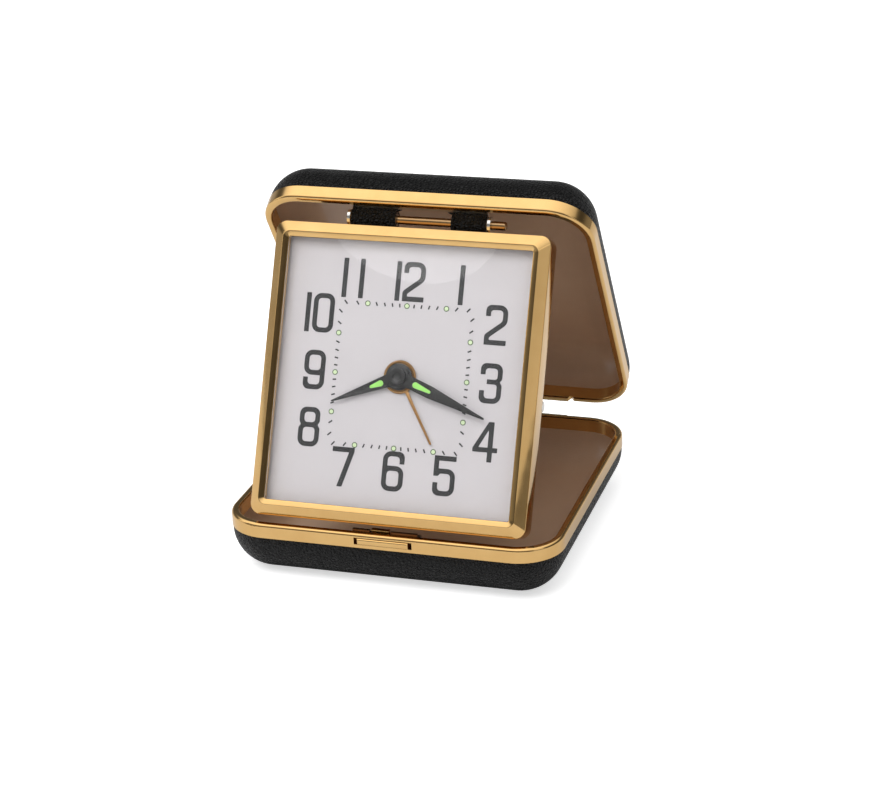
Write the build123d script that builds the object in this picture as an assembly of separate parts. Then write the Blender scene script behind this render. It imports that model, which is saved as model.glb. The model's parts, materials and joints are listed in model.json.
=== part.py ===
from build123d import *
import math
import os

# A folding travel alarm clock, stood up on its open case.
# Millimetres, +Z up, the origin under the middle of the lower case half, the dial faces -Y.

# Case halves: the lower half and the lid share one shape
case_width = 80.0
case_depth = 78.0
shell_height = 14.1
corner_radius = 10.5
edge_straight = 0.5
cover_setback = 0.15
cover_thickness = 0.7
pan_thickness = 0.5
lining_thickness = 0.55
rim_height = 3.4
rim_outer_round = 0.8
rim_inner_round = 0.4
lid_open_angle = 56.0

# Gaps between pieces
running_fit = 0.05
body_gap = 0.3
overrun = 1.0

# Rear hinge of the case
hinge_setback = 3.4
hinge_recess_width = 49.0
hinge_recess_depth = 0.6
leaf_thickness = 0.8
leaf_edge = 0.25
leaf_width = 47.0
barrel_radius = 1.9
barrel_length = 32.0
lid_knuckle_length = 12.0
pin_radius = 0.75
pin_head_height = 0.5
pin_head_radius = 1.3
rivet_radius = 0.7
rivet_head_radius = 1.3
rivet_head_height = 0.3
rivet_inset = 2.2
rivet_pitch = 3.2
rivets_per_side = 2
notch_height = 0.8

# Head hinge between the lid and the clock head
rod_radius = 1.0
rod_inset = 4.76
rod_drop = 1.28
rod_left = -17.9
rod_right = 20.6
rod_round = 0.5
knuckle_radius = 1.95
knuckle_core_radius = 1.45
left_knuckle = (-16.3, -5.6)
right_knuckle = (7.8, 16.1)
ear_thickness = 0.7
ear_gap = 0.3
strap_height = 3.9
strap_plate_thickness = 0.6
strap_flare = 1.2
strap_rivet_height = 2.3
strap_rivet_depth = 1.0

# Clock head: polished bezel round a domed crystal
crystal_width = 58.2
crystal_height = 60.8
inner_facet = 1.3
outer_facet = 2.4
ridge_rise = 0.5
outer_drop = 1.4
side_wall = 5.2
bezel_thickness = 1.0
bezel_lip = 0.2
head_corner = 2.5
rod_above = 2.27
rod_behind = 7.0
foot_gap = 0.2
bracket_thickness = 0.6
bracket_height = 3.8
ear_reach = 4.6

# Crystal, dial and hands
crystal_corner = 0.4
crystal_fit = 0.05
crystal_wall = 0.9
crystal_dome = 1.5
crystal_flange = 0.7
dial_depth = 2.8
dial_thickness = 0.4
dial_hole_radius = 2.3
hand_thickness = 0.22
alarm_hand_lift = 0.35
hour_hand_lift = 1.05
minute_hand_lift = 1.75
hour_hand_length = 17.1
hour_hand_width = 3.0
hour_tip_width = 0.35
minute_hand_length = 22.5
minute_hand_width = 2.9
minute_tip_width = 0.5
minute_shoulder = 8.6
alarm_hand_length = 17.2
alarm_hand_width = 0.8
alarm_ring_radius = 3.85
hour_hub_radius = 3.1
minute_hub_radius = 2.6
cap_radius = 2.0
cap_height = 0.75
cap_dimple_radius = 1.0
cap_dimple_depth = 0.25
lume_hub_width = 1.4
lume_tip_width = 0.7
lume_inner = 3.9
minute_lume_length = 4.7
hour_lume_length = 3.4
lume_margin = 0.08
hour_hand_angle = 246.8
minute_hand_angle = 110.9
alarm_hand_angle = 149.3

# Movement: plates, train and motor
movement_margin = 2.0
movement_thickness = 1.2
minute_arbor_radius = 0.5
hour_tube_radius = 1.2
alarm_tube_radius = 1.9
wheel_thickness = 0.5
tooth_height = 0.35
tooth_tip_share = 0.35
tooth_fall_share = 0.5
tooth_root_share = 0.85
tip_clearance = 0.05
hour_teeth = 40
motion_pinion_teeth = 10
motion_wheel_teeth = 36
minute_pinion_teeth = 12
motion_span = 8.3
center_teeth = 60
center_wheel_radius = 7.0
third_pinion_teeth = 15
third_wheel_teeth = 48
third_wheel_radius = 5.4
rotor_pinion_teeth = 16
alarm_teeth = 48
alarm_wheel_radius = 7.2
alarm_pinion_teeth = 12
shaft_radius = 0.8
pivot_radius = 0.35
pivot_length = 0.6
wheel_level_gap = 0.35
bridge_thickness = 1.0
bridge_width = 38.0
bridge_bottom = -9.8
bridge_top = 18.0
bridge_post_radius = 1.6
bridge_post_x = 16.0
rotor_radius = 1.6
rotor_length = 1.2
stator_thickness = 0.8
stator_width = 6.5
stator_length = 26.0
stator_gap = 0.3
coil_radius = 2.6
coil_length = 17.0
coil_flange_radius = 3.0
coil_flange_thickness = 0.8
coil_core_radius = 0.8
coil_offset = 6.6
board_width = 36.0
board_height = 24.0
board_thickness = 0.9
chip_size = 5.0
chip_height = 1.0
crystal_can_radius = 1.0
crystal_can_length = 6.0

# Rear case with its controls
rear_height = 58.0
rear_corner = 4.0
rear_edge = 1.5
rear_depth = 11.8
rear_wall = 1.2
flange_fit = 0.1
flange_thickness = 1.0
boss_radius = 2.2
boss_inset = 3.6
screw_radius = 0.9
screw_head_radius = 1.7
screw_head_height = 1.0
screw_slot_width = 0.4
screw_slot_depth = 0.4
knob_height = 2.2
time_knob_radius = 5.0
alarm_knob_radius = 4.2
knob_teeth = 28
knob_tooth_height = 0.3
buzzer_radius = 8.0
buzzer_thickness = 0.8
buzzer_height = 17.0
sound_hole_radius = 0.6
sound_hole_ring = 2.6
sound_hole_count = 6
switch_x = 21.0
switch_y = 12.0
switch_travel = 3.0
switch_slot_width = 1.6
switch_knob_width = 3.0
switch_knob_length = 3.4
switch_knob_height = 1.0
switch_flange_width = 3.4
switch_flange_thickness = 0.6

# Battery compartment
battery_radius = 5.25
battery_length = 43.3
battery_nub_radius = 1.9
battery_nub_length = 1.2
battery_y = -16.8
contact_thickness = 0.4
contact_height = 8.0
compartment_rib = 1.0
compartment_play = 1.55
spring_wire_radius = 0.3
spring_turn_radius = 2.4
spring_turns = 3
spring_length = 2.6
door_length = 49.0
door_width = 12.6
door_thickness = 0.7
door_fit = 0.1
door_opening_length = 45.6
door_opening_width = 11.6
door_grip_count = 4
door_grip_pitch = 1.5
door_grip_width = 0.6
door_grip_depth = 0.3

# Latch in the front rim
bar_length = 12.2
bar_height = 1.5
bar_stand_out = 0.45
bar_round_share = 0.9
bar_slot_end = 0.8
bar_slot_fit = 0.1
bar_level = 1.75
bar_travel = 0.8
latch_width = 15.4
latch_plate_thickness = 0.6
latch_plate_top = 0.4
latch_plate_drop = 3.9
latch_window_gap = 0.15
bar_flange_length = 14.2
bar_flange_thickness = 0.4
tongue_width = 4.2
tongue_offset = -1.1
tongue_top = 0.6
tongue_gap = 0.45
barb_reach = 0.8
barb_height = 0.3
catch_lip = 0.25
catch_groove_depth = 0.5
catch_groove_height = 0.7
keeper_thickness = 0.4
spring_room = 0.7
spring_thickness = 0.15
spring_bow = 0.9

# Places that follow from the sizes above
rim_width = cover_setback + cover_thickness + pan_thickness + lining_thickness
front_face = -case_depth / 2
rear_face = case_depth / 2
front_wall = front_face + rim_width
seam_level = shell_height - rim_height
edge_radius = seam_level - edge_straight
hinge_y = rear_face + hinge_setback
lid_axis = Axis((0, hinge_y, shell_height), (1, 0, 0))
head_width = crystal_width + 2 * (inner_facet + outer_facet)
head_height = crystal_height + 2 * (inner_facet + outer_facet)
head_middle = -rod_above - head_height / 2

# Levels in the head's own frame, measured forward from the rod
edge_level = rod_behind
ridge_level = edge_level + ridge_rise
foot_level = edge_level - outer_drop
back_level = foot_level - side_wall
lip_level = foot_level - bezel_lip
dial_level = edge_level - dial_depth
plate_front = dial_level - dial_thickness
plate_back = plate_front - movement_thickness
alarm_level = plate_back - wheel_level_gap
hour_level = alarm_level - wheel_thickness - wheel_level_gap
motion_level = hour_level - wheel_thickness - wheel_level_gap
center_level = motion_level - wheel_thickness - wheel_level_gap
third_level = center_level - wheel_thickness - wheel_level_gap
rotor_level = third_level - wheel_thickness - wheel_level_gap
bridge_level = rotor_level - rotor_length - wheel_level_gap
board_level = bridge_level - bridge_thickness
rear_level = back_level - rear_depth
rear_inside = rear_level + rear_wall

# The rear case is as wide as the cell, its spring, contacts, ribs and walls need
battery_end = (battery_length + battery_nub_length) / 2
battery_z = rear_inside + body_gap + battery_radius
rear_width = 2 * (battery_end + spring_length + contact_thickness + compartment_rib + rear_wall
                  + compartment_play)
movement_width = rear_width - 2 * movement_margin
movement_height = rear_height - 2 * movement_margin
keeper_depth = bar_flange_thickness + bar_travel + spring_room + keeper_thickness

# Gear sizes and places, measured from the dial's middle
hour_wheel_radius = motion_span * hour_teeth / (hour_teeth + motion_pinion_teeth)
motion_pinion_radius = motion_span - hour_wheel_radius
motion_wheel_radius = motion_span * motion_wheel_teeth / (motion_wheel_teeth + minute_pinion_teeth)
minute_pinion_radius = motion_span - motion_wheel_radius
third_pinion_radius = center_wheel_radius * third_pinion_teeth / center_teeth
third_y = center_wheel_radius + third_pinion_radius
rotor_pinion_radius = third_wheel_radius * rotor_pinion_teeth / third_wheel_teeth
rotor_y = third_y + third_wheel_radius + rotor_pinion_radius
alarm_pinion_radius = alarm_wheel_radius * alarm_pinion_teeth / alarm_teeth
alarm_span = alarm_wheel_radius + alarm_pinion_radius
coil_y = rotor_y + coil_offset


def lid_point(y, z):
    """Where a point of the closed lid lies with the lid open."""
    angle = math.radians(lid_open_angle)
    back, up = y - hinge_y, z - shell_height
    return (hinge_y + back * math.cos(angle) + up * math.sin(angle),
            shell_height - back * math.sin(angle) + up * math.cos(angle))


rod_y, rod_z = lid_point(front_face + rod_inset, shell_height - rod_drop)


def head_lean():
    """The lean that sets the head's lower edge just behind the front wall."""
    foot_drop = rod_above + head_height
    reach = rod_y - (front_wall + foot_gap)
    span = math.hypot(foot_drop, foot_level)
    return math.asin(reach / span) - math.atan2(foot_level, foot_drop)


lean = head_lean()
head_plane = Plane(origin=(0, rod_y, rod_z), x_dir=(1, 0, 0), z_dir=(0, -math.cos(lean), math.sin(lean)))


def block(x0, x1, y0, y1, z0, z1):
    return Pos((x0 + x1) / 2, (y0 + y1) / 2, (z0 + z1) / 2) * Box(x1 - x0, y1 - y0, z1 - z0)


def post(x, y, z0, z1, radius):
    return Pos(x, y, (z0 + z1) / 2) * Cylinder(radius, z1 - z0)


def bar_along_x(x0, x1, y, z, radius):
    return Pos((x0 + x1) / 2, y, z) * Rot(0, 90, 0) * Cylinder(radius, x1 - x0)


def slab(width, height, corner, z0, z1, y=0):
    outline = Plane.XY.offset(z0) * Pos(0, y) * RectangleRounded(width, height, corner)
    return extrude(outline, z1 - z0)


def outline_slab(points, z0, z1):
    face = make_face(Polyline(*points, close=True))
    return extrude(Plane.XY.offset(z0) * face, z1 - z0)


def toothed_disc(x, y, z0, z1, tip_radius, teeth, height):
    points = []
    for k in range(teeth):
        for share, radius in ((0.0, tip_radius), (tooth_tip_share, tip_radius),
                              (tooth_fall_share, tip_radius - height), (tooth_root_share, tip_radius - height)):
            angle = math.tau * (k + share) / teeth
            points.append((x + radius * math.cos(angle), y + radius * math.sin(angle)))
    return outline_slab(points, z0, z1)


def gear(x, y, level, pitch_radius, teeth, bore=0):
    """A wheel whose front face is at level; tips stop short of the pitch circle."""
    wheel = toothed_disc(x, head_middle + y, level - wheel_thickness, level,
                         pitch_radius - tip_clearance, teeth, tooth_height)
    if bore:
        wheel -= post(x, head_middle + y, level - wheel_thickness - overrun, level + overrun, bore)
    return wheel


def arbor(x, y, z0, z1, radius):
    return post(x, head_middle + y, z0, z1, radius)


def open_lid(shape):
    return shape.rotate(lid_axis, -lid_open_angle)


def flip_to_lid(shape):
    return open_lid(mirror(shape, about=Plane.XY.offset(shell_height)))


def write(name, shape):
    export_step(shape, "parts/" + name + ".step")


def write_head(name, shape):
    write(name, head_plane.location * shape)


# Case halves
def tray(inset, top):
    """The solid form of a case half, drawn in by inset and cut at top; the cover's form stands at zero."""
    bottom = inset - cover_setback
    form = extrude(Plane.XY.offset(bottom) * RectangleRounded(
        case_width - 2 * inset, case_depth - 2 * inset, corner_radius - inset), top - bottom)
    return fillet(form.faces().sort_by(Axis.Z)[0].edges(), edge_radius - inset)


def rear_recess():
    return block(-hinge_recess_width / 2, hinge_recess_width / 2, rear_face - hinge_recess_depth,
                 rear_face + overrun, 0, shell_height + overrun)


def layer(inset, thickness):
    return tray(inset, seam_level) - tray(inset + thickness, seam_level + overrun)


def case_rim():
    outer = RectangleRounded(case_width, case_depth, corner_radius)
    inner = RectangleRounded(case_width - 2 * rim_width, case_depth - 2 * rim_width,
                             corner_radius - rim_width)
    ring = extrude(Plane.XY.offset(seam_level) * (outer - inner), rim_height)
    top = ring.faces().sort_by(Axis.Z)[-1]
    ring = fillet(top.outer_wire().edges(), rim_outer_round)
    top = ring.faces().sort_by(Axis.Z)[-1]
    ring = fillet(top.inner_wires()[0].edges(), rim_inner_round)
    return ring - rear_recess()


def rivet_places():
    start = barrel_length / 2 + rivet_inset
    return [side * (start + k * rivet_pitch) for side in (-1, 1) for k in range(rivets_per_side)]


def rivet(x, y0, y1, z, radius, head_radius, head_height):
    """A rivet along Y, flush with the inner face y0, with its head on the outer face y1."""
    turned = Rot(90, 0, 0)
    shank = Pos(x, (y0 + y1) / 2, z) * turned * Cylinder(radius, y1 - y0)
    return shank + Pos(x, y1 + head_height / 2, z) * turned * Cylinder(head_radius, head_height)


leaf_y = rear_face - hinge_recess_depth
rivet_level = seam_level + rim_height / 2


def rivet_bores():
    reach = 2 * rim_width + 2 * overrun
    return [Pos(x, rear_face, rivet_level) * Rot(90, 0, 0) * Cylinder(rivet_radius, reach)
            for x in rivet_places()]


def hinge_leaf(spans):
    """A leaf on the rear rim with arms that roll round the pin over each span of X."""
    leaf = block(-leaf_width / 2, leaf_width / 2, leaf_y, leaf_y + leaf_thickness,
                 seam_level + leaf_edge, shell_height - leaf_edge)
    arm_bottom = shell_height - barrel_radius
    for x0, x1 in spans:
        leaf += block(x0, x1, leaf_y, hinge_y, arm_bottom, arm_bottom + leaf_thickness)
        leaf += bar_along_x(x0, x1, hinge_y, shell_height, barrel_radius)
        leaf -= bar_along_x(x0 - overrun, x1 + overrun, hinge_y, shell_height, pin_radius + running_fit)
    for bore in rivet_bores():
        leaf -= bore
    return leaf


def base_leaf():
    inner = lid_knuckle_length / 2 + body_gap
    leaf = hinge_leaf([(-barrel_length / 2, -inner), (inner, barrel_length / 2)])
    return leaf - bar_along_x(-inner, inner, hinge_y, shell_height, barrel_radius + body_gap)


def hinge_pin():
    end = barrel_length / 2
    pin = bar_along_x(-end, end, hinge_y, shell_height, pin_radius)
    for side in (-1, 1):
        x0, x1 = sorted((side * end, side * (end + pin_head_height)))
        pin += bar_along_x(x0, x1, hinge_y, shell_height, pin_head_radius)
    return pin


def leaf_rivets():
    return [rivet(x, rear_face - rim_width, leaf_y + leaf_thickness, rivet_level,
                  rivet_radius, rivet_head_radius, rivet_head_height) for x in rivet_places()]


def rim_notches():
    x = hinge_recess_width / 2
    cuts = []
    for side in (-1, 1):
        shape = Pos(side * x, rear_face - rim_width / 2, shell_height) * Rot(90, 0, 0) * extrude(
            RegularPolygon(notch_height, 4, major_radius=True), rim_width / 2 + overrun, both=True)
        cuts.append(shape)
    return cuts


# Latch, in the front rim of the lower half
bar_z = shell_height - bar_level
bar_bottom = bar_z - bar_height / 2
bar_top = bar_z + bar_height / 2
latch_back = front_wall + latch_plate_thickness
flange_back = latch_back + bar_flange_thickness
tongue_left = tongue_offset - tongue_width / 2
tongue_right = tongue_offset + tongue_width / 2


def bar_slot():
    half = bar_length / 2 + bar_slot_end
    return block(-half, half, front_face - overrun, front_wall + overrun,
                 bar_bottom - bar_slot_fit, bar_top + bar_slot_fit)


def catch_groove():
    """The groove inside the lid's rim that the barb hooks into, drawn in the lower half's place."""
    top = shell_height - catch_lip
    return block(tongue_left - tongue_gap, tongue_right + tongue_gap, front_wall - catch_groove_depth,
                 front_wall + overrun, top - catch_groove_height, top)


def latch_plate():
    plate = block(-latch_width / 2, latch_width / 2, front_wall, latch_back,
                  shell_height - latch_plate_drop, shell_height + latch_plate_top)
    half = bar_length / 2 + latch_window_gap
    plate -= block(-half, half, front_wall - overrun, latch_back + overrun,
                   bar_bottom - bar_slot_fit, bar_top + bar_slot_fit)
    plate -= block(tongue_left - tongue_gap, tongue_right + tongue_gap, front_wall - overrun,
                   latch_back + overrun, bar_z, shell_height + latch_plate_top + overrun)
    return plate


def push_bar():
    """The bar that is pressed, its flange behind the latch plate and the hook tongue."""
    half = bar_length / 2
    bar = block(-half, half, front_face - bar_stand_out, latch_back, bar_bottom, bar_top)
    bar = fillet(bar.faces().sort_by(Axis.Y)[0].edges(), bar_stand_out * bar_round_share)
    bar += block(-bar_flange_length / 2, bar_flange_length / 2, latch_back + running_fit, flange_back,
                 bar_bottom, bar_top)
    bar += block(-half, half, latch_back - running_fit, latch_back + 2 * running_fit, bar_bottom, bar_top)
    top = shell_height + tongue_top
    bar += block(tongue_left, tongue_right, latch_back + running_fit, flange_back, bar_bottom, top)
    bar += block(tongue_left, tongue_right, latch_back - barb_reach, flange_back, top - barb_height, top)
    return bar


def latch_keeper():
    """A strap over the flange that backs the bow spring."""
    inner = bar_flange_length / 2 + body_gap
    outer = inner + keeper_thickness
    back = latch_back + keeper_depth
    low, high = bar_bottom, bar_top
    keeper = block(-outer, outer, back - keeper_thickness, back, low, high)
    for side in (-1, 1):
        x0, x1 = sorted((side * inner, side * outer))
        keeper += block(x0, x1, latch_back, back, low, high)
    return keeper


def latch_spring():
    """A flat spring bowed between the keeper and the flange."""
    half = bar_flange_length / 2 - overrun
    back = latch_back + keeper_depth - keeper_thickness
    arc = ThreePointArc((-half, back), (0, back - spring_bow), (half, back))
    inner = ThreePointArc((half, back - spring_thickness), (0, back - spring_bow - spring_thickness),
                          (-half, back - spring_thickness))
    face = make_face([arc, Line(arc @ 1, inner @ 0), inner, Line(inner @ 1, arc @ 0)])
    low = bar_z - bar_height / 4
    return extrude(Plane.XY.offset(low) * face, bar_height / 2)


# Head hinge, drawn with the lid closed where it belongs to the lid
closed_rod_y = front_face + rod_inset
closed_rod_z = shell_height - rod_drop
strap_front = front_wall
strap_back = front_wall + strap_plate_thickness
strap_rivet_z = shell_height + strap_rivet_height
arm_back = closed_rod_y - rod_radius - running_fit
arm_front = arm_back - strap_plate_thickness


def rod():
    pin = bar_along_x(rod_left, rod_right, 0, 0, rod_radius)
    ends = [pin.edges().sort_by(Axis.X)[0], pin.edges().sort_by(Axis.X)[-1]]
    return fillet(ends, rod_round)


def knuckle(span, outer, inner):
    x0, x1 = span
    sleeve = bar_along_x(x0, x1, closed_rod_y, closed_rod_z, outer)
    return sleeve - bar_along_x(x0 - overrun, x1 + overrun, closed_rod_y, closed_rod_z, inner)


def strap_core():
    """Steel plate on the lid's front wall with an arm and a rolled knuckle at each side, lid closed."""
    plate = block(left_knuckle[0], right_knuckle[1], strap_front, strap_back,
                  shell_height + body_gap, shell_height + strap_height)
    for span in (left_knuckle, right_knuckle):
        arm = block(span[0], span[1], arm_front, arm_back, closed_rod_z,
                    shell_height + body_gap + strap_plate_thickness)
        foot = block(span[0], span[1], strap_front, arm_back, shell_height + body_gap,
                     shell_height + body_gap + strap_plate_thickness)
        plate += arm + foot + knuckle(span, knuckle_core_radius, rod_radius + running_fit)
        plate -= bar_along_x(span[0] - overrun, span[1] + overrun, closed_rod_y, closed_rod_z,
                             rod_radius + running_fit)
    for bore in strap_bores(strap_rivet_z):
        plate -= bore
    return open_lid(plate)


def strap_rivet_places():
    return [sum(left_knuckle) / 2, sum(right_knuckle) / 2]


def strap_bores(z):
    """The holes that take the strap's rivets, through its plate and into the rim behind it."""
    depth = strap_rivet_depth + strap_plate_thickness
    return [Pos(x, strap_back - depth / 2, z) * Rot(90, 0, 0) * Cylinder(rivet_radius, depth)
            for x in strap_rivet_places()]


def knuckle_cover(span, flare):
    """Leather cloth wrapped round a knuckle, with a gusset that widens over its arm."""
    x0, x1 = span
    sleeve = knuckle(span, knuckle_radius, knuckle_core_radius)
    top = shell_height + body_gap
    y0 = closed_rod_y - knuckle_radius
    y1 = arm_front
    inner = x1 if flare > 0 else x0
    outer = x0 if flare > 0 else x1
    points = [(outer, closed_rod_z), (inner, closed_rod_z), (inner, top - strap_flare / 2),
              (inner + flare, top), (outer, top)]
    face = make_face(Polyline(*points, close=True))
    gusset = extrude(Plane.XZ.offset(-y0) * face, -(y1 - y0))
    core = bar_along_x(x0 - overrun, x1 + overrun, closed_rod_y, closed_rod_z, knuckle_core_radius)
    return sleeve + (gusset - core)


def strap_covers():
    arms = block(left_knuckle[0] - overrun, right_knuckle[1] + overrun, arm_front, arm_back,
                 closed_rod_z, shell_height + strap_height)
    left = knuckle_cover(left_knuckle, strap_flare)
    right = knuckle_cover(right_knuckle, -strap_flare)
    return Compound([open_lid(left - arms), open_lid(right - arms)])


def strap_rivets():
    rivets = []
    for x, shank in zip(strap_rivet_places(), strap_bores(strap_rivet_z)):
        head = Pos(x, strap_back + rivet_head_height / 2, strap_rivet_z) * Rot(90, 0, 0) * Cylinder(
            rivet_head_radius, rivet_head_height)
        rivets.append(open_lid(shank + head))
    return Compound(rivets)


def head_bracket():
    """A plate behind the bezel with an ear at each side that holds the rod."""
    left = left_knuckle[0] - ear_gap
    right = right_knuckle[1] + ear_gap
    plate_top = -rod_above - bezel_thickness
    plate_bottom = plate_top - bracket_height
    bracket = block(left - ear_thickness, right + ear_thickness, plate_bottom, plate_top,
                    back_level - bracket_thickness, back_level)
    for x0, x1 in ((left - ear_thickness, left), (right, right + ear_thickness)):
        ear = bar_along_x(x0, x1, 0, 0, knuckle_radius)
        ear += block(x0, x1, plate_top - ear_reach / 2, 0, -knuckle_radius, back_level)
        bracket += ear
        bracket -= bar_along_x(x0 - overrun, x1 + overrun, 0, 0, rod_radius)
    return bracket


# Clock head
def bezel():
    outer = Plane.XY.offset(foot_level) * Pos(0, head_middle) * RectangleRounded(
        head_width, head_height, head_corner)
    ridge = Plane.XY.offset(ridge_level) * Pos(0, head_middle) * RectangleRounded(
        crystal_width + 2 * inner_facet, crystal_height + 2 * inner_facet, crystal_corner + inner_facet)
    hood = loft([outer, ridge], ruled=True)
    skirt = slab(head_width, head_height, head_corner, back_level, foot_level, head_middle)
    rim = Plane.XY.offset(ridge_level) * Pos(0, head_middle) * RectangleRounded(
        crystal_width + 2 * inner_facet, crystal_height + 2 * inner_facet, crystal_corner + inner_facet)
    edge = Plane.XY.offset(edge_level) * Pos(0, head_middle) * RectangleRounded(
        crystal_width, crystal_height, crystal_corner)
    funnel = loft([edge, rim], ruled=True)
    opening = slab(crystal_width, crystal_height, crystal_corner, back_level, edge_level, head_middle)
    cavity = slab(head_width - 2 * bezel_thickness, head_height - 2 * bezel_thickness,
                  head_corner - bezel_thickness, back_level - overrun, lip_level, head_middle)
    return skirt + hood - funnel - opening - cavity


def arch(span, level, dome):
    """A cylinder along X whose top rises by dome over level between the two sides of span."""
    radius = (span ** 2 / 4 + dome ** 2) / (2 * dome)
    return Pos(0, 0, level + dome - radius) * Rot(0, 90, 0) * Cylinder(radius, 2 * crystal_height)


def vault(level):
    """A cushion form: the volume under two crossed arches that rise over the crystal's edge."""
    along = arch(crystal_height, level, crystal_dome)
    across = Rot(0, 0, 90) * arch(crystal_width, level, crystal_dome)
    return Pos(0, head_middle) * (along & across)


def crystal():
    width = crystal_width - 2 * crystal_fit
    height = crystal_height - 2 * crystal_fit
    top = edge_level + crystal_dome + overrun
    outer = slab(width, height, crystal_corner, dial_level, top, head_middle) & vault(edge_level)
    flange = slab(width + 2 * crystal_flange, height + 2 * crystal_flange, crystal_corner,
                  dial_level, lip_level, head_middle)
    inside = slab(width - 2 * crystal_wall, height - 2 * crystal_wall, crystal_corner,
                  dial_level - overrun, top, head_middle) & vault(edge_level - crystal_wall)
    return outer + flange - inside


def dial():
    width = crystal_width + 2 * crystal_flange
    height = crystal_height + 2 * crystal_flange
    plate = slab(width, height, crystal_corner, plate_front, dial_level, head_middle)
    return plate - arbor(0, 0, plate_front - overrun, dial_level + overrun, dial_hole_radius)


def turned_hand(shape, angle):
    """Turn a hand drawn towards twelve by its clockwise angle on the dial."""
    return Pos(0, head_middle) * Rot(0, 0, -angle) * shape


def hand_window(length, grow=0.0):
    """The outline of a lume insert, wide at the hub and narrow at the tip."""
    inner, outer = lume_inner - grow, lume_inner + length + grow
    hub, tip = lume_hub_width / 2 + grow, lume_tip_width / 2 + grow
    return [(-hub, inner), (hub, inner), (tip, outer), (-tip, outer)]


def hour_blade(level):
    half, tip = hour_hand_width / 2, hour_tip_width / 2
    blade = outline_slab([(-half, 0), (half, 0), (half, hour_hub_radius), (tip, hour_hand_length),
                          (-tip, hour_hand_length), (-half, hour_hub_radius)], level, level + hand_thickness)
    blade += Pos(0, 0, level + hand_thickness / 2) * Cylinder(hour_hub_radius, hand_thickness)
    blade -= outline_slab(hand_window(hour_lume_length), level - overrun, level + overrun)
    return blade


def minute_blade(level):
    half, tip = minute_hand_width / 2, minute_tip_width / 2
    blade = outline_slab([(-half, 0), (half, 0), (half, minute_shoulder), (tip, minute_hand_length),
                          (-tip, minute_hand_length), (-half, minute_shoulder)], level, level + hand_thickness)
    blade += Pos(0, 0, level + hand_thickness / 2) * Cylinder(minute_hub_radius, hand_thickness)
    blade -= outline_slab(hand_window(minute_lume_length), level - overrun, level + overrun)
    return blade


alarm_hand_level = dial_level + alarm_hand_lift
hour_hand_level = dial_level + hour_hand_lift
minute_hand_level = dial_level + minute_hand_lift
cap_level = minute_hand_level + hand_thickness


def hour_hand():
    hand = hour_blade(hour_hand_level) - Cylinder(hour_tube_radius, 4 * edge_level)
    return turned_hand(hand, hour_hand_angle)


def minute_hand():
    hand = minute_blade(minute_hand_level) - Cylinder(minute_arbor_radius, 4 * edge_level)
    return turned_hand(hand, minute_hand_angle)


def alarm_hand():
    level = alarm_hand_level
    half = alarm_hand_width / 2
    hand = outline_slab([(-half, 0), (half, 0), (half / 2, alarm_hand_length), (-half / 2, alarm_hand_length)],
                        level, level + hand_thickness)
    hand += Pos(0, 0, level + hand_thickness / 2) * Cylinder(alarm_ring_radius, hand_thickness)
    hand -= Cylinder(alarm_tube_radius, 4 * edge_level)
    return turned_hand(hand, alarm_hand_angle)


def lume_insert(length, level, angle):
    insert = outline_slab(hand_window(length, -lume_margin), level, level + hand_thickness)
    return turned_hand(insert, angle)


def hand_cap():
    cap = arbor(0, 0, cap_level, cap_level + cap_height, cap_radius)
    cap -= arbor(0, 0, cap_level + cap_height - cap_dimple_depth, cap_level + cap_height + overrun,
                 cap_dimple_radius)
    return cap - arbor(0, 0, cap_level - overrun, cap_level + cap_height / 2, minute_arbor_radius)


# Movement
def corner_places():
    x = rear_width / 2 - boss_inset
    y = rear_height / 2 - boss_inset
    return [(sx * x, sy * y) for sx in (-1, 1) for sy in (-1, 1)]


def bridge_places():
    high, low = bridge_top - 2 * bridge_post_radius, bridge_bottom + bridge_post_radius
    return [(side * bridge_post_x, y) for side in (-1, 1) for y in (high, low)]


def movement_plate():
    plate = slab(movement_width, movement_height, rear_corner / 2, plate_back, plate_front, head_middle)
    plate -= arbor(0, 0, plate_back - overrun, plate_front + overrun, alarm_tube_radius + running_fit)
    for x, y in corner_places():
        plate -= arbor(x, y, plate_back - overrun, plate_front - overrun / 2, screw_radius)
    for x, y in ((0, third_y), (0, rotor_y), (motion_span, 0), (-alarm_span, 0)):
        plate -= arbor(x, y, plate_back - overrun, plate_back + pivot_length + running_fit,
                       pivot_radius + running_fit)
    for x, y in bridge_places():
        plate += arbor(x, y, bridge_level, plate_back, bridge_post_radius)
    return plate


def train_bridge():
    plate = block(-bridge_width / 2, bridge_width / 2, head_middle + bridge_bottom, head_middle + bridge_top,
                  board_level, bridge_level)
    for x, y in ((0, 0), (0, third_y), (0, rotor_y)):
        plate -= arbor(x, y, bridge_level - pivot_length - running_fit, bridge_level + overrun,
                       pivot_radius + running_fit)
    for x in (motion_span, -alarm_span):
        plate -= arbor(x, 0, board_level - overrun, bridge_level + overrun, shaft_radius + running_fit)
    return plate


def minute_arbor():
    stem = arbor(0, 0, center_level - wheel_thickness, cap_level + cap_height / 2, minute_arbor_radius)
    stem += arbor(0, 0, bridge_level - pivot_length, center_level, pivot_radius)
    stem += gear(0, 0, center_level, center_wheel_radius, center_teeth)
    return stem + gear(0, 0, motion_level, minute_pinion_radius, minute_pinion_teeth)


def hour_wheel():
    bore = minute_arbor_radius + running_fit
    tube = arbor(0, 0, hour_level - wheel_thickness, hour_hand_level + hand_thickness, hour_tube_radius)
    tube += gear(0, 0, hour_level, hour_wheel_radius, hour_teeth)
    return tube - arbor(0, 0, hour_level - 2 * wheel_thickness, cap_level, bore)


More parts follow.
